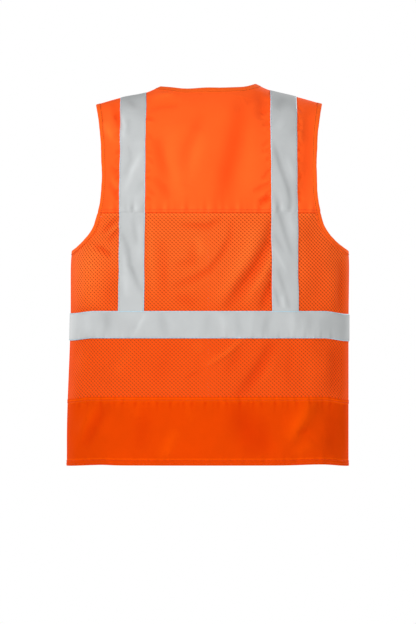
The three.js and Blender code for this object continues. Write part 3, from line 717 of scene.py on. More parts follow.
def knit(name, color, wale=0.0011, course=0.0014, depth=0.25, glow=0.05, sheen=0.04, recess=False, foot=None):
    """A warp-knit fabric: wales across, courses down, a soft sheen and slightly uneven dye.

    A flag paints shade on the rims of pinholes. foot is the colour that the cloth darkens to below the waist.
    """
    mat, tree, shader = material(name, color, 0.9)
    shader.inputs["Sheen Weight"].default_value = sheen
    shader.inputs["Sheen Roughness"].default_value = 0.5
    shader.inputs["Sheen Tint"].default_value = (1, 0.75, 0.6, 1)
    shader.inputs["Specular IOR Level"].default_value = 0.08 if sheen else 0.02
    shader.inputs["Emission Color"].default_value = (1, 0.09, 0.0, 1)
    shader.inputs["Emission Strength"].default_value = glow
    uv = node(tree, "ShaderNodeUVMap", uv_map="cloth").outputs[0]
    wales = bands(tree, "X", np.pi / 10 / wale, 0.4)
    courses = bands(tree, "Y", np.pi / 10 / course, 0.6)
    patches = node(tree, "ShaderNodeTexNoise", Scale=22.0, Detail=3.0, Roughness=0.55)
    fuzz = node(tree, "ShaderNodeTexNoise", Scale=900.0, Detail=2.0)
    for texture in (wales, courses, patches, fuzz):
        link(tree, uv, texture.inputs["Vector"])
    weave = math(tree, "MULTIPLY", wales.outputs["Fac"], courses.outputs["Fac"])
    weave = math(tree, "ADD", weave, math(tree, "MULTIPLY", fuzz.outputs["Fac"], 0.5))
    rough_up(tree, shader, weave, depth, 0.0004)
    uneven = mix_color(tree, patches.outputs["Fac"], tint(color, 0.93), tint(color, 1.07))
    # darker towards the bottom: below the waist the colour moves towards foot
    if foot:
        down = node(tree, "ShaderNodeMapRange", interpolation_type="SMOOTHSTEP")
        down.inputs["From Min"].default_value = -0.30
        down.inputs["From Max"].default_value = -0.50  # metres below the neck points
        height = node(tree, "ShaderNodeSeparateXYZ")
        link(tree, node(tree, "ShaderNodeTexCoord").outputs["Object"], height.inputs[0])
        link(tree, height.outputs[2], down.inputs["Value"])
        uneven = mix_color(tree, down.outputs[0], uneven, foot)
    fine = mix_color(tree, math(tree, "MULTIPLY", weave, 0.22), uneven, tint(color, 0.72))
    if recess:
        # painted shade on the rims of the pinholes
        shade = node(tree, "ShaderNodeAttribute", attribute_name="recess")
        fine = mix_color(tree, shade.outputs["Fac"], fine, tint(color, 0.54))
    link(tree, shaded_folds(tree, fine, (0.22, 0.62, 0.80)), shader.inputs["Base Color"])
    return mat


def reflective(name, half_width=TAPE_WIDTH / 2):
    """Glass-bead tape with a pale woven edge. Its UV runs across from the middle, and along."""
    color, border = (0.525, 0.545, 0.55), (0.48, 0.66, 0.75)
    mat, tree, shader = material(name, color, 0.6, 0.0)
    shader.inputs["Specular IOR Level"].default_value = 0.25
    shader.inputs["Sheen Weight"].default_value = 0.05
    uv = node(tree, "ShaderNodeUVMap", uv_map="cloth").outputs[0]
    split = node(tree, "ShaderNodeSeparateXYZ")
    link(tree, uv, split.inputs[0])
    out = math(tree, "ABSOLUTE", split.outputs[0])
    edge = math(tree, "GREATER_THAN", out, half_width - 0.0016)
    beads = node(tree, "ShaderNodeTexVoronoi", Scale=2600.0)
    grain = node(tree, "ShaderNodeTexNoise", Scale=1400.0, Detail=2.0)
    scuff = node(tree, "ShaderNodeTexNoise", Scale=26.0, Detail=4.0, Roughness=0.6)
    weave = bands(tree, "DIAGONAL", 420.0, 0.0)
    for texture in (beads, grain, scuff, weave):
        link(tree, uv, texture.inputs["Vector"])
    worn = mix_color(tree, scuff.outputs["Fac"], tint(color, 0.93), tint(color, 1.06))
    fine = mix_color(tree, math(tree, "MULTIPLY", grain.outputs["Fac"], 0.16), worn, tint(color, 0.7))
    fine = shaded_folds(tree, fine, (0.55, 0.55, 0.55))
    link(tree, mix_color(tree, edge, fine, border), shader.inputs["Base Color"])
    bead_height = math(tree, "MULTIPLY", beads.outputs["Distance"], 0.6)
    height = math(tree, "ADD", bead_height, math(tree, "MULTIPLY", weave.outputs["Fac"], 0.4))
    rough_up(tree, shader, height, 0.16, 0.0002)
    worn_roughness(tree, shader, scuff, 0.52, 0.70)
    return mat


def plain_grain(name, color, rough, metal=0.0, scale=600.0, depth=0.1, contrast=0.12):
    """Moulded plastic, plated metal or nap: a fine grain in object space."""
    mat, tree, shader = material(name, color, rough, metal)
    place = node(tree, "ShaderNodeTexCoord").outputs["Object"]
    grain = node(tree, "ShaderNodeTexNoise", Scale=scale, Detail=4.0, Roughness=0.6)
    wear = node(tree, "ShaderNodeTexNoise", Scale=scale / 8, Detail=3.0)
    link(tree, place, grain.inputs["Vector"])
    link(tree, place, wear.inputs["Vector"])
    worn = mix_color(tree, wear.outputs["Fac"], tint(color, 1 - contrast), tint(color, 1 + contrast))
    link(tree, worn, shader.inputs["Base Color"])
    worn_roughness(tree, shader, wear, max(rough - 0.12, 0.05), min(rough + 0.12, 1))
    rough_up(tree, shader, grain.outputs["Fac"], depth, 0.0003)
    return mat


ORANGE, MESH_ORANGE, MESH_FOOT = (0.93, 0.107, 0.015), (0.93, 0.136, 0.021), (0.81, 0.054, 0.0)
HEM_ORANGE, INSIDE_SHADE_ORANGE, BINDING_ORANGE = (0.78, 0.058, 0.0003), (0.42, 0.046, 0.004), (0.94, 0.120, 0.012)
MESH_KNIT = {"wale": 0.0015, "course": 0.0016, "depth": 0.35, "recess": True}
yoke_cloth = knit("yoke_tricot", ORANGE, glow=0.20)
mesh_cloth = knit("mesh_tricot", MESH_ORANGE, glow=0.22, sheen=0.02, foot=MESH_FOOT, **MESH_KNIT)
hem_cloth = knit("hem_tricot", HEM_ORANGE, glow=0.02, sheen=0.0)
front_cloth = knit("front_tricot", ORANGE, glow=0.16)
# The fronts' inner faces: the tricot darker and without glow, as painted shade inside the vest.
painted_shade_inside_cloth = knit("tricot_inside_painted_shade", INSIDE_SHADE_ORANGE, glow=0.0, sheen=0.0)
pocket_cloth = knit("pocket_tricot", tint(ORANGE, 0.97), glow=0.16)
binding_cloth = knit("binding_tape", BINDING_ORANGE, wale=0.0008, course=0.0008, depth=0.3, glow=0.16)
tape_cloth = reflective("reflective_tape")
thread = plain_grain("orange_thread", (0.32, 0.021, 0.002), 0.8, scale=2500)
pale_thread = plain_grain("pale_orange_thread", (0.86, 0.075, 0.004), 0.8, scale=2500)
grey_thread = plain_grain("grey_thread", (0.48, 0.56, 0.60), 0.6, scale=2500)
zip_cloth = knit("zip_tape", (0.72, 0.075, 0.008), wale=0.0006, course=0.0009, depth=0.4, glow=0.03)
zip_plastic = plain_grain("zip_teeth", (0.82, 0.10, 0.012), 0.35, scale=900, depth=0.05)
nickel = plain_grain("nickel_plate", (0.62, 0.62, 0.63), 0.26, 1.0, scale=1200, depth=0.06, contrast=0.08)
nap = plain_grain("hook_and_loop", (0.78, 0.085, 0.010), 0.95, scale=1800, depth=0.8, contrast=0.2)
satin = plain_grain("label_satin", (0.86, 0.86, 0.84), 0.45, scale=1500, depth=0.15, contrast=0.04)


def on_back(obj, slot_name, *nodes):
    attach(obj, "back")
    if nodes:
        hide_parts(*nodes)
    return obj


def on_front(obj, hand, slot_name, *nodes):
    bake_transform(obj)
    if nodes:
        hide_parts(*nodes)
    return obj


# Back yoke. Rows follow the shoulder line and neck edge, and columns share the armhole's curve.
def back_top(x):
    return np.where(np.abs(x) < NECK, -NECK_DROP[BACK] * (1 - (x / NECK) ** 4), crest(x))


def yoke_places(columns, levels, low):
    """Rows from the top edge down to a level foot, each as wide as the armholes leave it."""
    rows_x, rows_z = [], []
    for level in levels:
        height = row_between(back_top, low, level)
        edge = crossing(lambda z: edge_x(BACK, z), height, SHOULDER)
        rows_x.append(columns * edge)
        rows_z.append(height(columns * edge))
    return np.array(rows_x), np.array(rows_z)


neck_share = NECK / SHOULDER
below_neck = neck_share * np.sin(np.linspace(0, np.pi / 2, 60))
right = np.concatenate([below_neck, np.linspace(neck_share, 1, 80)[1:]])
yoke_columns = np.concatenate([-right[:0:-1], right])
yx, yz = yoke_places(yoke_columns, over_levels(YOKE_SEAM, 150), -YOKE_SEAM)
yoke = sheet_on("yoke", BACK, yx, yz, -CLOTH / 2, CLOTH, yoke_cloth)
on_back(yoke, "orange_cloth", "back_yoke")

# The yoke's turned lower edge, which laps the mesh.
lap_x = np.linspace(-1, 1, 300) * edge_x(BACK, np.array(-YOKE_SEAM))
gx, gz = np.meshgrid(lap_x, np.linspace(0.006, -0.001, 5) - YOKE_SEAM)
lap_off = np.array([0.00010, 0.00045, 0.00075, 0.00095, 0.00065])[:, None]
yoke_lap = sheet_on("yoke_lap", BACK, gx, gz, lap_off, 0.0004, yoke_cloth)
on_back(yoke_lap, "orange_cloth")

# Back mesh: a lattice of cloth round staggered rows of holes.
HOLE = 0.0014
PITCH = (0.0075, 0.0069)  # across and down


def lattice(low, high, pitch):
    """Grid lines from low to high in pairs: a hole's width, then the solid between holes."""
    count = round((high - low) / pitch)
    starts = low + (high - low) * np.arange(count) / count
    step = (high - low) / count
    lines = [starts, starts + HOLE, starts + step / 2, starts + step / 2 + HOLE]
    return np.append(np.sort(np.concatenate(lines)), high)


mz = -lattice(YOKE_SEAM + 0.0005, HEM_SEAM - 0.0005, PITCH[1])
reach = ROUND[BACK][-1] - EDGE_GAP
mx = HALF * np.sin(np.interp(lattice(-reach, reach, PITCH[0]), ROUND[BACK], TURNS))
gx, gz = np.meshgrid(mx, mz)
edge = edge_x(BACK, gz)
under = gz < -UNDERARM
inside = (np.abs(gx) < edge) | under
gx = np.where(under, gx, np.clip(gx, -edge, edge))
row, column = np.arange(len(mz) - 1)[:, None] % 4, np.arange(len(mx) - 1)[None] % 4
hole = (row == column) & (row % 2 == 0)
kept_quad = ~hole & (inside[:-1, :-1] | inside[1:, 1:] | inside[1:, :-1] | inside[:-1, 1:])
around, over = angles(gx, gz)
rim = np.zeros(gx.shape, bool)
for di, dj in ((0, 0), (0, 1), (1, 0), (1, 1)):
    rim[di : di + hole.shape[0], dj : dj + hole.shape[1]] |= hole
mesh_points, _ = raised(BACK, around, over, np.where(rim, -0.0006, -0.0001))
quads = grid_quads(len(mz), len(mx), kept_quad)
used, packed = np.unique(quads, return_inverse=True)
mesh_panel = new_object(
    "mesh_panel",
    mesh_points.reshape(-1, 3)[used],
    packed.reshape(-1, 4).tolist(),
    cloth_uv(BACK, around, over).reshape(-1, 2)[used],
    mesh_cloth,
    # the rims of the holes, set a little deeper, also get painted shade
    recess=rim.ravel()[used],
    cavity=cavity(BACK, surface(BACK, around, over)[0]).ravel()[used],
)
on_back(mesh_panel, "mesh", "back_mesh_panel")

# Hem panel, its turned top edge and its turned hem.
hx = spread(BACK, 240, -HALF, HALF)
gx, gz = np.meshgrid(hx, -np.linspace(HEM_SEAM, LENGTH, 60))
hem_panel = sheet_on("hem_panel", BACK, gx, gz, -CLOTH / 2, CLOTH, hem_cloth)
on_back(hem_panel, "orange_cloth", "back_hem_panel")

lap_z = np.array([0.0015, 0.001, -0.0004, -0.0018, -0.0036, -0.006, -0.007]) - HEM_SEAM
lap_off = np.array([0.0001, 0.0005, 0.0007, 0.0008, 0.0006, 0.0005, 0.0001])[:, None]
hem_top = sheet_on("hem_panel_lap", BACK, *np.meshgrid(hx, lap_z), lap_off, 0.0004, hem_cloth)
on_back(hem_top, "orange_cloth")


def turned_hem(name, side, x, material):
    """A folded hem, as a closed roll of two layers round the cloth's lower edge."""
    z = -LENGTH + np.array([0.0095, 0.0088, 0.005, 0.001, -0.0007, -0.0012, -0.0007, 0.001, 0.005, 0.0095])
    off = np.array([0.0004, 0.0010, 0.0011, 0.0013, 0.0011, 0.0, -0.0011, -0.0013, -0.0011, -0.0005])
    around, over = angles(*np.meshgrid(x, z))
    top, _ = raised(side, around, over, off[:, None])
    bottom, _ = raised(side, around, over, 0.72 * off[:, None])
    bottom[3:7, :, 2] += 0.0003
    return slab(name, top, bottom, cloth_uv(side, around, over), material)


HEM_STITCHES = (0.0030, 0.0078)  # above the hem's foot
hem = turned_hem("hem_fold_back", BACK, hx, hem_cloth)
on_back(hem, "orange_cloth", "back_hem_binding")
for above in HEM_STITCHES:
    stitch("hem_back", BACK, hx, above - LENGTH, 0.0014)
stitch("hem_back", BACK, hx, -HEM_SEAM - 0.0048, 0.0012)
stitch("hem_back", BACK, np.linspace(-0.205, 0.205, 300), -YOKE_SEAM + 0.0045, 0.0013)


# ---------------------------------------------------------------- reflective tape
def tape_profile(share):
    """How far a tape's inner face lies off: sewn down near its edges, and a little proud between them."""
    return 0.0009 + 0.0004 * smooth((0.5 - np.abs(share)) / 0.10)


def over_lap(z):
    """The shoulder tapes ride over the yoke's turned edge."""
    return 0.0007 * bell(z + YOKE_SEAM - 0.0025, 0.006)


TAPE_SHARES = np.linspace(-0.5, 0.5, 29)  # across a tape
TAPE_STITCHES = (-0.462, 0.462)
TAPE_THICK = 0.0003


def shoulder_tape(side, hand, sign):
    """A tape from the shoulder line down to under the waist tape. Its UV runs across and along it."""
    foot = WAIST[0] + 0.004
    rows_x, rows_z = [], []
    for level in over_levels(foot, 250):
        height = row_between(crest, -foot, level)
        x = crossing(lambda z: tape_x(side, z, TAPE_SHARES), height, TAPE_MIDDLE)
        rows_x.append(x)
        rows_z.append(height(x))
    x, z = np.array(rows_x), np.array(rows_z)
    over = angles(x, z)[1]
    along = -np.interp(over, *OVER[side])
    uv = np.stack(np.broadcast_arrays(TAPE_SHARES * TAPE_WIDTH, along), -1)
    name, group = ("back", "tape_back") if side == BACK else ("front", f"tape_front_{hand}")
    ride_up = over_lap if side == BACK else np.zeros_like
    off = tape_profile(TAPE_SHARES) + ride_up(z)
    tape = sheet_on(f"{name}_shoulder_tape_{hand}", side, sign * x, z, off, TAPE_THICK, tape_cloth, uv)
    height = z[:, len(TAPE_SHARES) // 2]
    for share in TAPE_STITCHES:
        stitch(group, side, sign * tape_x(side, height, share), height, 0.0014 + ride_up(height))
    return tape


def waist_tape(name, side, x, group):
    """A tape round the waist over the places x."""
    middle = -(WAIST[0] + WAIST[1]) / 2
    gx, gz = np.meshgrid(x, middle + TAPE_SHARES * TAPE_WIDTH)
    along = np.interp(angles(gx, gz)[0], TURNS, ROUND[side])
    uv = np.stack(np.broadcast_arrays(TAPE_SHARES[:, None] * TAPE_WIDTH, along), -1)
    off = tape_profile(TAPE_SHARES)[:, None] + 0.0008
    tape = sheet_on(name, side, gx, gz, off, TAPE_THICK, tape_cloth, uv)
    for share in TAPE_STITCHES:
        stitch(group, side, x, middle + share * TAPE_WIDTH, 0.0021)
    return tape


waist = waist_tape("back_waist_tape_cloth", BACK, spread(BACK, 420, -HALF, HALF), "tape_back")
on_back(waist, "reflective_tape", "back_waist_tape")
for hand, sign in HANDS:
    on_back(shoulder_tape(BACK, hand, sign), "reflective_tape", f"back_tape_{hand}")


# ---------------------------------------------------------------- bindings
def binding(name, side, x, z, outwards, group, widening=0):
    """A folded strip round a cloth edge, wider midway along by a widening.

    outwards is 1 or -1, for the side of the path where the cloth ends.
    """
    around, over = angles(np.asarray(x), np.asarray(z))
    point, out, _, _, around, over = surface(side, around, over)
    ahead = np.gradient(point, axis=0)
    direction = np.cross(ahead, out) * outwards
    direction /= np.linalg.norm(direction, axis=1, keepdims=True)
    walked = walked_along(point)
    wide = BINDING + widening * np.clip(np.sin(np.pi * walked / walked[-1]), 0, 1) ** 0.4
    section = [
        (-wide, 0.0005), (-wide + 0.0004, 0.0010), (-wide + 0.0015, 0.0010), (-wide / 2, 0.00125),
        (-0.001, 0.00135), (0.0006, 0.0011), (0.0013, 0.0004), (0.0013, -0.0004), (0.0006, -0.0011),
        (-0.001, -0.00135), (-wide / 2, -0.00125), (-wide + 0.0015, -0.0010), (-wide, -0.0005),
    ]
    wave = 0 if "neck" in name else ripple(walked, [(14, 0.6, 0.12), (23, 1.9, 0.14)]) / 1000
    tops, lows, uvs = [], [], []
    across = 0.0
    before = section[0]
    for reach, height in section:
        across += np.hypot(reach - before[0], height - before[1])
        before = (reach, height)
        lift = height + np.sign(height) * wave
        tops.append(raised(side, *shifted(side, around, over, direction, reach), lift)[0])
        inner = shifted(side, around, over, direction, np.minimum(reach, 0.0006))
        lows.append(raised(side, *inner, lift * 0.68)[0])
        uvs.append(np.stack(np.broadcast_arrays(across, walked), -1))
    for face in (1, -1):
        seam = shifted(side, around, over, direction, -wide + 0.0014)
        points, normals = raised(side, *seam, face * 0.0012)
        stitch_at(group, points, normals * face)
    return slab(name, np.array(tops), np.array(lows), np.array(uvs), binding_cloth)


def smooth_path(x, z, count, side):
    """The path again, with its points evenly spaced over the surface."""
    point = surface(side, *angles(x, z))[0]
    walked = walked_along(point)
    even = np.linspace(0, walked[-1], count)
    return np.interp(even, walked, x), np.interp(even, walked, z)


def armhole_path(side):
    """Places along the right armhole's edge, from the shoulder tip to under the arm."""
    x, z = [], []
    for level in over_levels(UNDERARM, 400):
        height = row_between(crest, -UNDERARM, level)
        edge = crossing(lambda h: edge_x(side, h), height, SHOULDER)
        x.append(edge)
        z.append(height(edge))
    return smooth_path(np.array([*x, HALF]), np.array([*z, -UNDERARM]), 170, side)


nx = NECK * np.cos(np.linspace(0, np.pi, 400))
nx, nz = smooth_path(nx, back_top(nx * 0.99999), 120, BACK)
neck_binding = binding("neck_binding_back", BACK, nx, nz, 1, "back", widening=0.0070)
on_back(neck_binding, "binding", "back_neck_binding")
ax, az = armhole_path(BACK)
for hand, sign in HANDS:
    bound = binding(f"armhole_binding_back_{hand}", BACK, sign * ax, az, -sign, "back")
    on_back(bound, "binding", f"back_armhole_binding_{hand}")

# ---------------------------------------------------------------- small pieces inside the back
def strap_lift(share, stand):
    """How far a strap stands off at a share of its length: sewn down at both ends, and full between."""
    return 0.0008 + stand * np.minimum(1, 4 * np.minimum(share, 1 - share)) ** 0.6


def strap(name, side, x, drop, height, stand, inward, material, thick=0.0008, group=None):
    """A strip sewn down at both ends that stands off the cloth between them."""
    lift = strap_lift(np.linspace(0, 1, len(x)), stand + 0.0005)
    z = -drop + np.linspace(0.5, -0.5, 7) * height
    piece = sheet_on(name, side, *np.meshgrid(x, z), inward * lift, inward * thick, material)
    for end in (2, -3):
        end_z = np.linspace(z[0], z[-1], 20)
        stitch(group, side, x[end], end_z, inward * (lift[end] + thick), 0.0018, 0.0006)
    return piece


lx = np.linspace(-0.032, 0.032, 60)
loop = strap("hanger_loop_cloth", BACK, lx, 0.029, 0.0055, 0.0100, -1, binding_cloth, group="back")
on_back(loop, "binding", "hanger_loop")

gx, gz = np.meshgrid(np.linspace(-0.019, 0.019, 24), -np.linspace(0.043, 0.095, 30))
curl = -0.0012 - 0.0012 * smooth((-gz - 0.05) / 0.045) * (1 + 0.5 * np.sin(gx * 110))
label = sheet_on("care_label_cloth", BACK, gx, gz, curl, -0.0003, satin)
on_back(label, "label", "care_label")

# Seam allowances stand inside, along the side seams.
for hand, sign in HANDS:
    z = -np.linspace(UNDERARM + 0.004, LENGTH - 0.004, 130)
    depth = np.linspace(0, 0.011, 5)[:, None]
    gx = sign * (HALF - 0.0004 - depth + 0.0004 * np.sin(z * 160))
    gy = 0.0004 * np.sin(z * 90) + np.linspace(-0.0006, 0.0006, 5)[:, None] - 0.0009
    points = settled(BACK, np.stack(np.broadcast_arrays(gx, gy, z), -1))
    uv = np.stack(np.broadcast_arrays(depth, z), -1)
    seam = slab(f"side_seam_allowance_{hand}", points, points - np.array([0, 0.0012, 0]), uv, front_cloth)
    on_back(seam, "orange_cloth")


# ---------------------------------------------------------------- fronts
def front_neck_x(z):
    """Middle to the edge of the V neck."""
    return ZIP_EDGE + (NECK - ZIP_EDGE) * np.maximum(1 + z / NECK_DROP[FRONT], 0) ** 1.1


def front_places(columns, rows_upper, rows_lower):
    """The right front's rows: along the V neck, then beside the zip to the armhole's foot and to the hem."""
    rows_x, rows_z = [], []
    end = -NECK_DROP[FRONT]
    for level in over_levels(NECK_DROP[FRONT], rows_upper):
        height = row_between(crest, end, level)
        neck = crossing(front_neck_x, height, NECK)
        arm = crossing(lambda z: edge_x(FRONT, z), height, SHOULDER)
        x = spread(FRONT, columns, neck, arm)
        rows_x.append(x)
        rows_z.append(height(x))
    share = np.linspace(0, 1, rows_lower)[1:]
    beside_arm = UNDERARM - (UNDERARM - NECK_DROP[FRONT]) * (1 - share) ** 2
    for drop in np.concatenate([beside_arm, np.linspace(UNDERARM, LENGTH, 110)[1:]]):
        x = spread(FRONT, columns, ZIP_EDGE, edge_x(FRONT, np.array(-drop)))
        rows_x.append(x)
        rows_z.append(np.full(columns, -drop))
    return np.array(rows_x), np.array(rows_z)


TAB_DROP = 0.176  # neck points to a microphone tab's middle
fx, fz = front_places(140, 90, 50)
fax, faz = armhole_path(FRONT)
neck_z = np.linspace(0, -(NECK_DROP[FRONT] - 0.003), 400)
fnx = front_neck_x(neck_z)
fnz = np.minimum(neck_z, crest(fnx))
fnx, fnz = smooth_path(fnx, fnz, 150, FRONT)

POCKETS = {
    "pen": {"inner": 0.022, "outer": 0.110, "drop": 0.262, "height": 0.130, "stand": 0.009, "slots": 3},
    "radio": {"inner": 0.022, "outer": 0.110, "drop": 0.262, "height": 0.136, "stand": 0.013, "slots": 1},
    "lower": {"inner": 0.036, "outer": 0.196, "drop": 0.492, "height": 0.190, "stand": 0.012, "slots": 1},
}
FLAPS = {"radio": 0.052, "lower": 0.058}
FLAP_RISE, FLAP_OVERHANG, FLAP_CORNER = 0.011, 0.003, 0.012
POCKET_STITCH = 0.0018  # from a pocket's edge to its stitches
POCKET_LIP = 0.065  # share of a pocket's height that its mouth is turned over
STITCH_LIFT = 0.0016  # from the panel's middle to the stitches through a pocket that lies flat
FASTENER_SHARE, FASTENER_HEIGHT = 0.32, 0.020


def pouch_bulge(size, share):
    """How far a pouch stands off at a share of its width: nothing at its sewn edges, full in each slot."""
    return size["stand"] * np.abs(np.sin(np.pi * size["slots"] * share)) ** 0.45


def pouch_stand(size, share, down):
    """How far a pouch stands off, also closing at its foot."""
    return pouch_bulge(size, share) * np.minimum(1, np.maximum(1 - down, 0) / 0.14) ** 0.5


def pocket(name, size, sign, group):
    """A pouch with a turned mouth, sewn at its sides, its foot and between its slots."""
    drop, height = size["drop"], size["height"]
    across = np.linspace(0, 1, 97)
    foot = 0.8 + 0.2 * np.sin(np.linspace(0, np.pi / 2, 34))[1:]
    x = spread(FRONT, len(across), size["inner"], size["outer"])
    share, down = np.meshgrid(across, np.concatenate([np.linspace(0, 0.8, 50), foot]))
    stand = pouch_stand(size, share, down)
    soft = 0.0007 * np.sin(share * 9 + down * 6) * np.minimum(stand / 0.006, 1)
    mouth = 0.0006 * smooth((0.075 - down) / 0.01)
    gx, gz = np.broadcast_arrays(x, -drop - down * height)
    piece = sheet_on(name, FRONT, sign * gx, gz, 0.0006 + stand + soft, CLOTH + mouth, pocket_cloth)

    share = POCKET_STITCH / (size["outer"] - size["inner"])
    z = np.linspace(-drop, -drop - height + 0.001, 120)
    lift = STITCH_LIFT + pouch_stand(size, share, (-z - drop) / height)
    for column in (size["inner"] + POCKET_STITCH, size["outer"] - POCKET_STITCH):
        stitch(group, FRONT, sign * column, z, lift)
    row = spread(FRONT, 160, size["inner"] + 0.002, size["outer"] - 0.002)
    share = np.linspace(0.012, 0.988, 160)
    for down, turned in ((1 - POCKET_STITCH / height, 0), (POCKET_LIP, 0.0006)):
        lift = STITCH_LIFT + pouch_stand(size, share, down) + turned
        stitch(group, FRONT, sign * row, -drop - down * height, lift)
    z = np.linspace(-drop, -drop - height + 0.002, 120)
    for slot in range(1, size["slots"]):
        stitch(group, FRONT, sign * np.interp(slot / size["slots"], across, x), z, STITCH_LIFT)
    return piece


def flap_cover(name, key, sign):
    """A flap from its sewn top edge over the pocket's mouth, with turned edges and clipped lower corners."""
    size, height = POCKETS[key], FLAPS[key]
    top = size["drop"] - FLAP_RISE
    share, down = np.linspace(0, 1, 97), np.linspace(0, 1, 44)[:, None]
    x = spread(FRONT, len(share), size["inner"] - FLAP_OVERHANG, size["outer"] + FLAP_OVERHANG)
    length = height - FLAP_CORNER * np.clip(1 - np.minimum(share, 1 - share) / 0.09, 0, 1)
    gx, gz = np.broadcast_arrays(x, -top - down * length)
    stand = smooth(down * height / 0.0105) * (0.0038 + pouch_bulge(size, share))
    off = 0.0007 + stand + 0.0004 * np.sin(share * 14) * down
    roll = 0.0006 * smooth((down * height - height + 0.007) / 0.002)
    piece = sheet_on(name, FRONT, sign * gx, gz, off, CLOTH + roll, pocket_cloth)
    for inset in (0.0016, 0.0070):
        row = 1 - inset / height
        lift = off[int(row * 43)] + CLOTH + 0.0008
        stitch(name, FRONT, sign * x[3:-3], (-top - row * length)[3:-3], lift[3:-3])
    return piece


def patch(name, key, sign, start):
    """A hook or loop pad with fine tufts."""
    size = POCKETS[key]
    width = size["outer"] - size["inner"]
    low = size["drop"] - FLAP_RISE + FLAPS[key] - 0.004
    inner = size["inner"] + width * (0.5 - FASTENER_SHARE / 2)
    x = spread(FRONT, 60, inner, inner + width * FASTENER_SHARE)
    gx, gz = np.meshgrid(x, -np.linspace(low - FASTENER_HEIGHT, low, 28))
    turns = (np.arcsin(place / HALF) for place in (x, size["inner"], size["outer"]))
    at, start_at, end_at = (np.interp(turn, TURNS, ROUND[FRONT]) for turn in turns)
    tufts = 0.00012 * np.sin(gx * 5200 + np.sin(gz * 4100) * 2) * np.sin(gz * 4700)
    off = 0.0016 + start + pouch_bulge(size, (at - start_at) / (end_at - start_at))
    return sheet_on(name, FRONT, sign * gx, gz, off, 0.0006 + tufts, nap)


JOINTS = {joint["child"]: joint for joint in frame["record"]["behaviour"]["joints"]}

for hand, sign in HANDS:
    group = f"front_{hand}"
    panel = sheet_on(
        f"front_cloth_{hand}", FRONT, sign * fx, fz, -CLOTH / 2, CLOTH, front_cloth, reverse=painted_shade_inside_cloth
    )
    on_front(panel, hand, "orange_cloth", f"front_panel_{hand}")
    on_front(shoulder_tape(FRONT, hand, sign), hand, "reflective_tape", f"front_tape_{hand}")
    wx = sign * spread(FRONT, 220, ZIP_EDGE + 0.0004, HALF)
    on_front(
        waist_tape(f"front_waist_tape_cloth_{hand}", FRONT, wx, f"tape_front_{hand}"),
        hand, "reflective_tape", f"front_waist_tape_{hand}",
    )
    arm = binding(f"armhole_binding_front_{hand}", FRONT, sign * fax, faz, sign, group)
    on_front(arm, hand, "binding", f"front_armhole_binding_{hand}")
    neck = binding(f"neck_binding_front_{hand}", FRONT, sign * fnx, fnz, -sign, group)
    on_front(neck, hand, "binding", f"front_neck_binding_{hand}")
    fold_x = sign * spread(FRONT, 130, ZIP_EDGE + 0.0004, HALF)
    hem = turned_hem(f"hem_fold_front_{hand}", FRONT, fold_x, front_cloth)
    on_front(hem, hand, "orange_cloth", f"front_hem_binding_{hand}")
    for above in HEM_STITCHES:
        stitch(group, FRONT, fold_x, above - LENGTH, 0.0014)
    # turned edge along the zip, with its two rows of stitches
    ez = -np.linspace(NECK_DROP[FRONT] + 0.002, LENGTH - 0.001, 240)
    ex = ZIP_EDGE + np.array([0.0002, 0.0002, 0.001, 0.0045, 0.0085, 0.0092])
    gx, gz = np.meshgrid(ex, ez)
    off = np.array([0.0002, 0.0007, 0.0009, 0.0007, 0.0006, 0.0002])
    placket = sheet_on(f"zip_placket_{hand}", FRONT, sign * gx, gz, off, 0.0004, front_cloth)
    on_front(placket, hand, "orange_cloth")
    for inset in (0.0020, 0.0072):
        stitch(group, FRONT, sign * (ZIP_EDGE + inset), ez, 0.0013)
    # microphone tab
    tab_x = sign * spread(FRONT, 90, 0.050, 0.108)
    tab = strap(f"mic_tab_cloth_{hand}", FRONT, tab_x, TAB_DROP, 0.024, 0.009, 1, pocket_cloth, 0.0012, group)
    on_front(tab, hand, "orange_cloth", f"mic_tab_{hand}")
    ends = np.linspace(0.005, 0.995, 120)
    for level in (0.010, -0.010):
        row = np.interp(ends, np.linspace(0, 1, 90), tab_x)
        stitch(group, FRONT, row, level - TAB_DROP, strap_lift(ends, 0.0095) + 0.0013)
    # pockets
    lower = pocket(f"lower_pocket_cloth_{hand}", POCKETS["lower"], sign, group)
    on_front(lower, hand, "orange_cloth", f"lower_pocket_{hand}")
    key = "pen" if hand == "right" else "radio"
    chest = pocket(f"{key}_pocket_cloth", POCKETS[key], sign, group)
    on_front(chest, hand, "orange_cloth", f"{key}_pocket")
    covers = [("lower", f"_{hand}")]
    if hand == "left":
        covers.append(("radio", ""))
    for key, ending in covers:
        body = f"{key}_flap{ending}"
        cover = flap_cover(f"{body}_cloth", key, sign)
        loops = patch(f"{body}_loops", key, sign, 0.0002)
        on_front(loops, hand, "hook_and_loop", f"{key}_pocket_loop{ending}")
        hooks = patch(f"{body}_hooks", key, sign, 0.0012)
        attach(hooks, body)
        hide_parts(f"{key}_flap_hook{ending}")
        x, y, _ = JOINTS[body]["pos_m"]
        top = FLAP_RISE - POCKETS[key]["drop"]
        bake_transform(cover)
        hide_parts(body)
        threads = sew(f"{body}_cloth", thread)
        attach(threads, body)
    # shoulder seam: the back laps the front along the shoulder line
    sx = np.linspace(NECK + 0.001, SHOULDER - 0.001, 70)
    across = np.array([-0.0035, -0.003, 0.0, 0.0045, 0.005])
    turn = sign * np.arcsin(sx / HALF)
    rows = []
    for reach in across:
        side = BACK if reach < 0 else FRONT
        rise = np.full_like(turn, abs(reach) / DEPTH[side] + 0.004)
        rows.append(raised(side, turn, rise, 0.0009 if abs(reach) < 0.0046 else 0.0005)[0])
    top = np.array(rows)
    uv = np.stack(np.broadcast_arrays(across[:, None], sx), -1)
    seam = slab(f"shoulder_seam_{hand}", top, top - np.array([0, 0, 0.0005]), uv, yoke_cloth)
    on_back(seam, "orange_cloth")

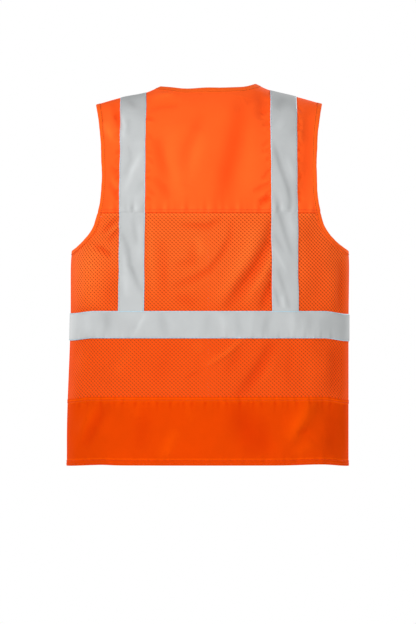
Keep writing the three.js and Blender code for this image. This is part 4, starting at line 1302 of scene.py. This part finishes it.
for group in list(THREADS):
    finish, slot_name = thread, "binding"
    if group.startswith("tape"):
        finish, slot_name = grey_thread, "reflective_tape"
    elif group.startswith("hem"):
        finish = pale_thread
    threads = sew(group, finish)
    if group.endswith("back"):
        on_back(threads, slot_name)
    else:
        on_front(threads, group.split("_")[-1], slot_name)

# ---------------------------------------------------------------- zip tapes, whose edges the teeth clamp
(_, zip_back, ZIP_FOOT), (ZIP_OUTER, zip_front, ZIP_TOP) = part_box("zipper_tape_right")
ZIP_PLANE = (zip_back + zip_front) / 2
for hand, sign in HANDS:
    z = np.linspace(ZIP_TOP, ZIP_FOOT, 300)
    across = np.array([0.0001, 0.0006, 0.0016, 0.0022, 0.0028, 0.0034, 0.0060, 0.0095, 0.0130, ZIP_OUTER])
    thick = np.array([0.0003, 0.0006, 0.0008, 0.0007, 0.0004, 0.0003, 0.0003, 0.0003, 0.0003, 0.0002])
    gx, gz = np.meshgrid(across, z)
    wave = 0.00015 * np.sin(gz * 240) * smooth((gx - 0.006) / 0.006)
    inner = np.stack([sign * gx, ZIP_PLANE - thick + wave, gz], -1)
    outer = np.stack([sign * gx, ZIP_PLANE + thick + wave, gz], -1)
    tape = slab(f"zip_tape_cloth_{hand}", outer, inner, np.stack([gx, gz], -1), zip_cloth)
    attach(tape, f"front_{hand}")
    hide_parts(f"zipper_tape_{hand}")

# ---------------------------------------------------------------- side seams, which the fronts swing on
for hand, sign in HANDS:
    z = -np.linspace(UNDERARM + 0.009, LENGTH - 0.001, 200)
    across = np.array([-0.0062, -0.0050, -0.0025, 0.0025, 0.0050, 0.0062])
    rows = []
    for reach in across:
        side = BACK if reach < 0 else FRONT
        x = HALF * np.sin(np.interp(ROUND[side][-1] - abs(reach), ROUND[side], TURNS))
        around, over = angles(np.full_like(z, sign * x), z)
        rows.append(raised(side, around, over, 0.0003 if abs(reach) > 0.006 else 0.0006)[0])
    outer = np.array(rows)
    inner = outer - sign * np.array([0.0004, 0, 0])
    uv = np.stack(np.broadcast_arrays(across[:, None], z), -1)
    seam = slab(f"side_seam_{hand}", outer, inner, uv, front_cloth)
    x, _, z = JOINTS[f"front_{hand}"]["pos_m"]
    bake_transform(seam)

# ---------------------------------------------------------------- cloth, as it was cut
def cut_sheet(name):
    """Reads the UV map of a piece of cloth, its flat cut in metres, and does nothing with it."""
    obj = bpy.data.objects[name]
    uv = np.empty(2 * len(obj.data.loops))
    obj.data.uv_layers["cloth"].data.foreach_get("uv", uv)


sewn_on = ["yoke_lap", "neck_binding_back", "hanger_loop_cloth"]
for hand, _ in HANDS:
    sewn_on += [f"armhole_binding_back_{hand}", f"shoulder_seam_{hand}"]
cut_sheet("yoke")
cut_sheet("mesh_panel")
cut_sheet("hem_panel")
cut_sheet("back_waist_tape_cloth")
cut_sheet("care_label_cloth")
for hand, _ in HANDS:
    panel = f"front_cloth_{hand}"
    cut_sheet(panel)
    cut_sheet(f"back_shoulder_tape_{hand}")
    cut_sheet(f"front_shoulder_tape_{hand}")
    cut_sheet(f"front_waist_tape_cloth_{hand}")
    cut_sheet(f"zip_tape_cloth_{hand}")
    cut_sheet(f"mic_tab_cloth_{hand}")
    cut_sheet(f"lower_pocket_cloth_{hand}")
cut_sheet("pen_pocket_cloth")
cut_sheet("radio_pocket_cloth")
for flap, pocket_name in (
    ("lower_flap_right", "lower_pocket_cloth_right"),
    ("lower_flap_left", "lower_pocket_cloth_left"),
    ("radio_flap", "radio_pocket_cloth"),
):
    cut_sheet(f"{flap}_cloth")
    cut_sheet(f"{flap}_loops")
    cut_sheet(f"{flap}_hooks")

# ---------------------------------------------------------------- CAD pieces that stay
ZIP_PARTS = ["teeth_left", "teeth_right", "top_stop_left", "top_stop_right", "box", "pin", "slider", "pull"]
for part in ZIP_PARTS:
    obj = frame["nodes"][f"zipper_{part}"]
    obj.data.materials.clear()
    obj.data.materials.append(nickel if part in ("slider", "pull") else zip_plastic)
    if part in ("slider", "pull", "box"):
        soften = obj.modifiers.new("soften", "BEVEL")
        soften.width = 0.00025
        soften.segments = 3
        soften.limit_method = "ANGLE"

# ---------------------------------------------------------------- light, floor and camera
scene = bpy.context.scene
scene.view_settings.view_transform = "Standard"
world = bpy.data.worlds.new("studio")
scene.world = world
world.use_nodes = True
tree = world.node_tree
background = tree.nodes["Background"]
background.inputs["Color"].default_value = (1, 1, 1, 1)
background.inputs["Strength"].default_value = 0.20
seen = node(tree, "ShaderNodeBackground", Color=(1, 1, 1, 1), Strength=1.0)
path = node(tree, "ShaderNodeLightPath")
both = node(tree, "ShaderNodeMixShader")
link(tree, path.outputs["Is Camera Ray"], both.inputs[0])
link(tree, background.outputs[0], both.inputs[1])
link(tree, seen.outputs[0], both.inputs[2])
link(tree, both.outputs[0], tree.nodes["World Output"].inputs[0])


def area_light(name, place, target, size, watts):
    data = bpy.data.lights.new(name, "AREA")
    data.size = size
    data.energy = watts
    obj = bpy.data.objects.new(name, data)
    scene.collection.objects.link(obj)
    obj.location = place
    direction = np.array(target) - np.array(place)
    obj.rotation_euler = Vector(direction).to_track_quat("-Z", "Y").to_euler()


CENTRE = (0, 0, -0.42)
for prefix, way in (("", 1), ("front_", -1)):  # the front is lit as the back is
    area_light(f"{prefix}key", (-2.12 * way, -2.71 * way, 1.19), CENTRE, 1.0, 104)
    area_light(f"{prefix}fill", (2.85 * way, -2.60 * way, -0.62), CENTRE, 1.6, 62)

bpy.ops.mesh.primitive_circle_add(vertices=96, radius=1.4, fill_type="NGON", location=(0, 0, -1.25))
floor = bpy.context.object
floor.name = "floor"
floor_mat, _, _ = material("floor_paint", (0.86, 0.86, 0.85), 0.8)
floor.data.materials.append(floor_mat)

FRAME_HEIGHT = 1.1656  # metres seen from the picture's foot to its top
DISTANCE = 26.0
camera_data = bpy.data.cameras.new("camera")
camera = bpy.data.objects.new("camera", camera_data)
scene.collection.objects.link(camera)
camera.location = (0.0, -DISTANCE, -0.4224)
camera.rotation_euler = (np.pi / 2, 0, 0)
camera_data.sensor_fit = "VERTICAL"
camera_data.sensor_height = 36
camera_data.lens = 36 * DISTANCE / FRAME_HEIGHT
camera_data.clip_end = 60
scene.camera = camera
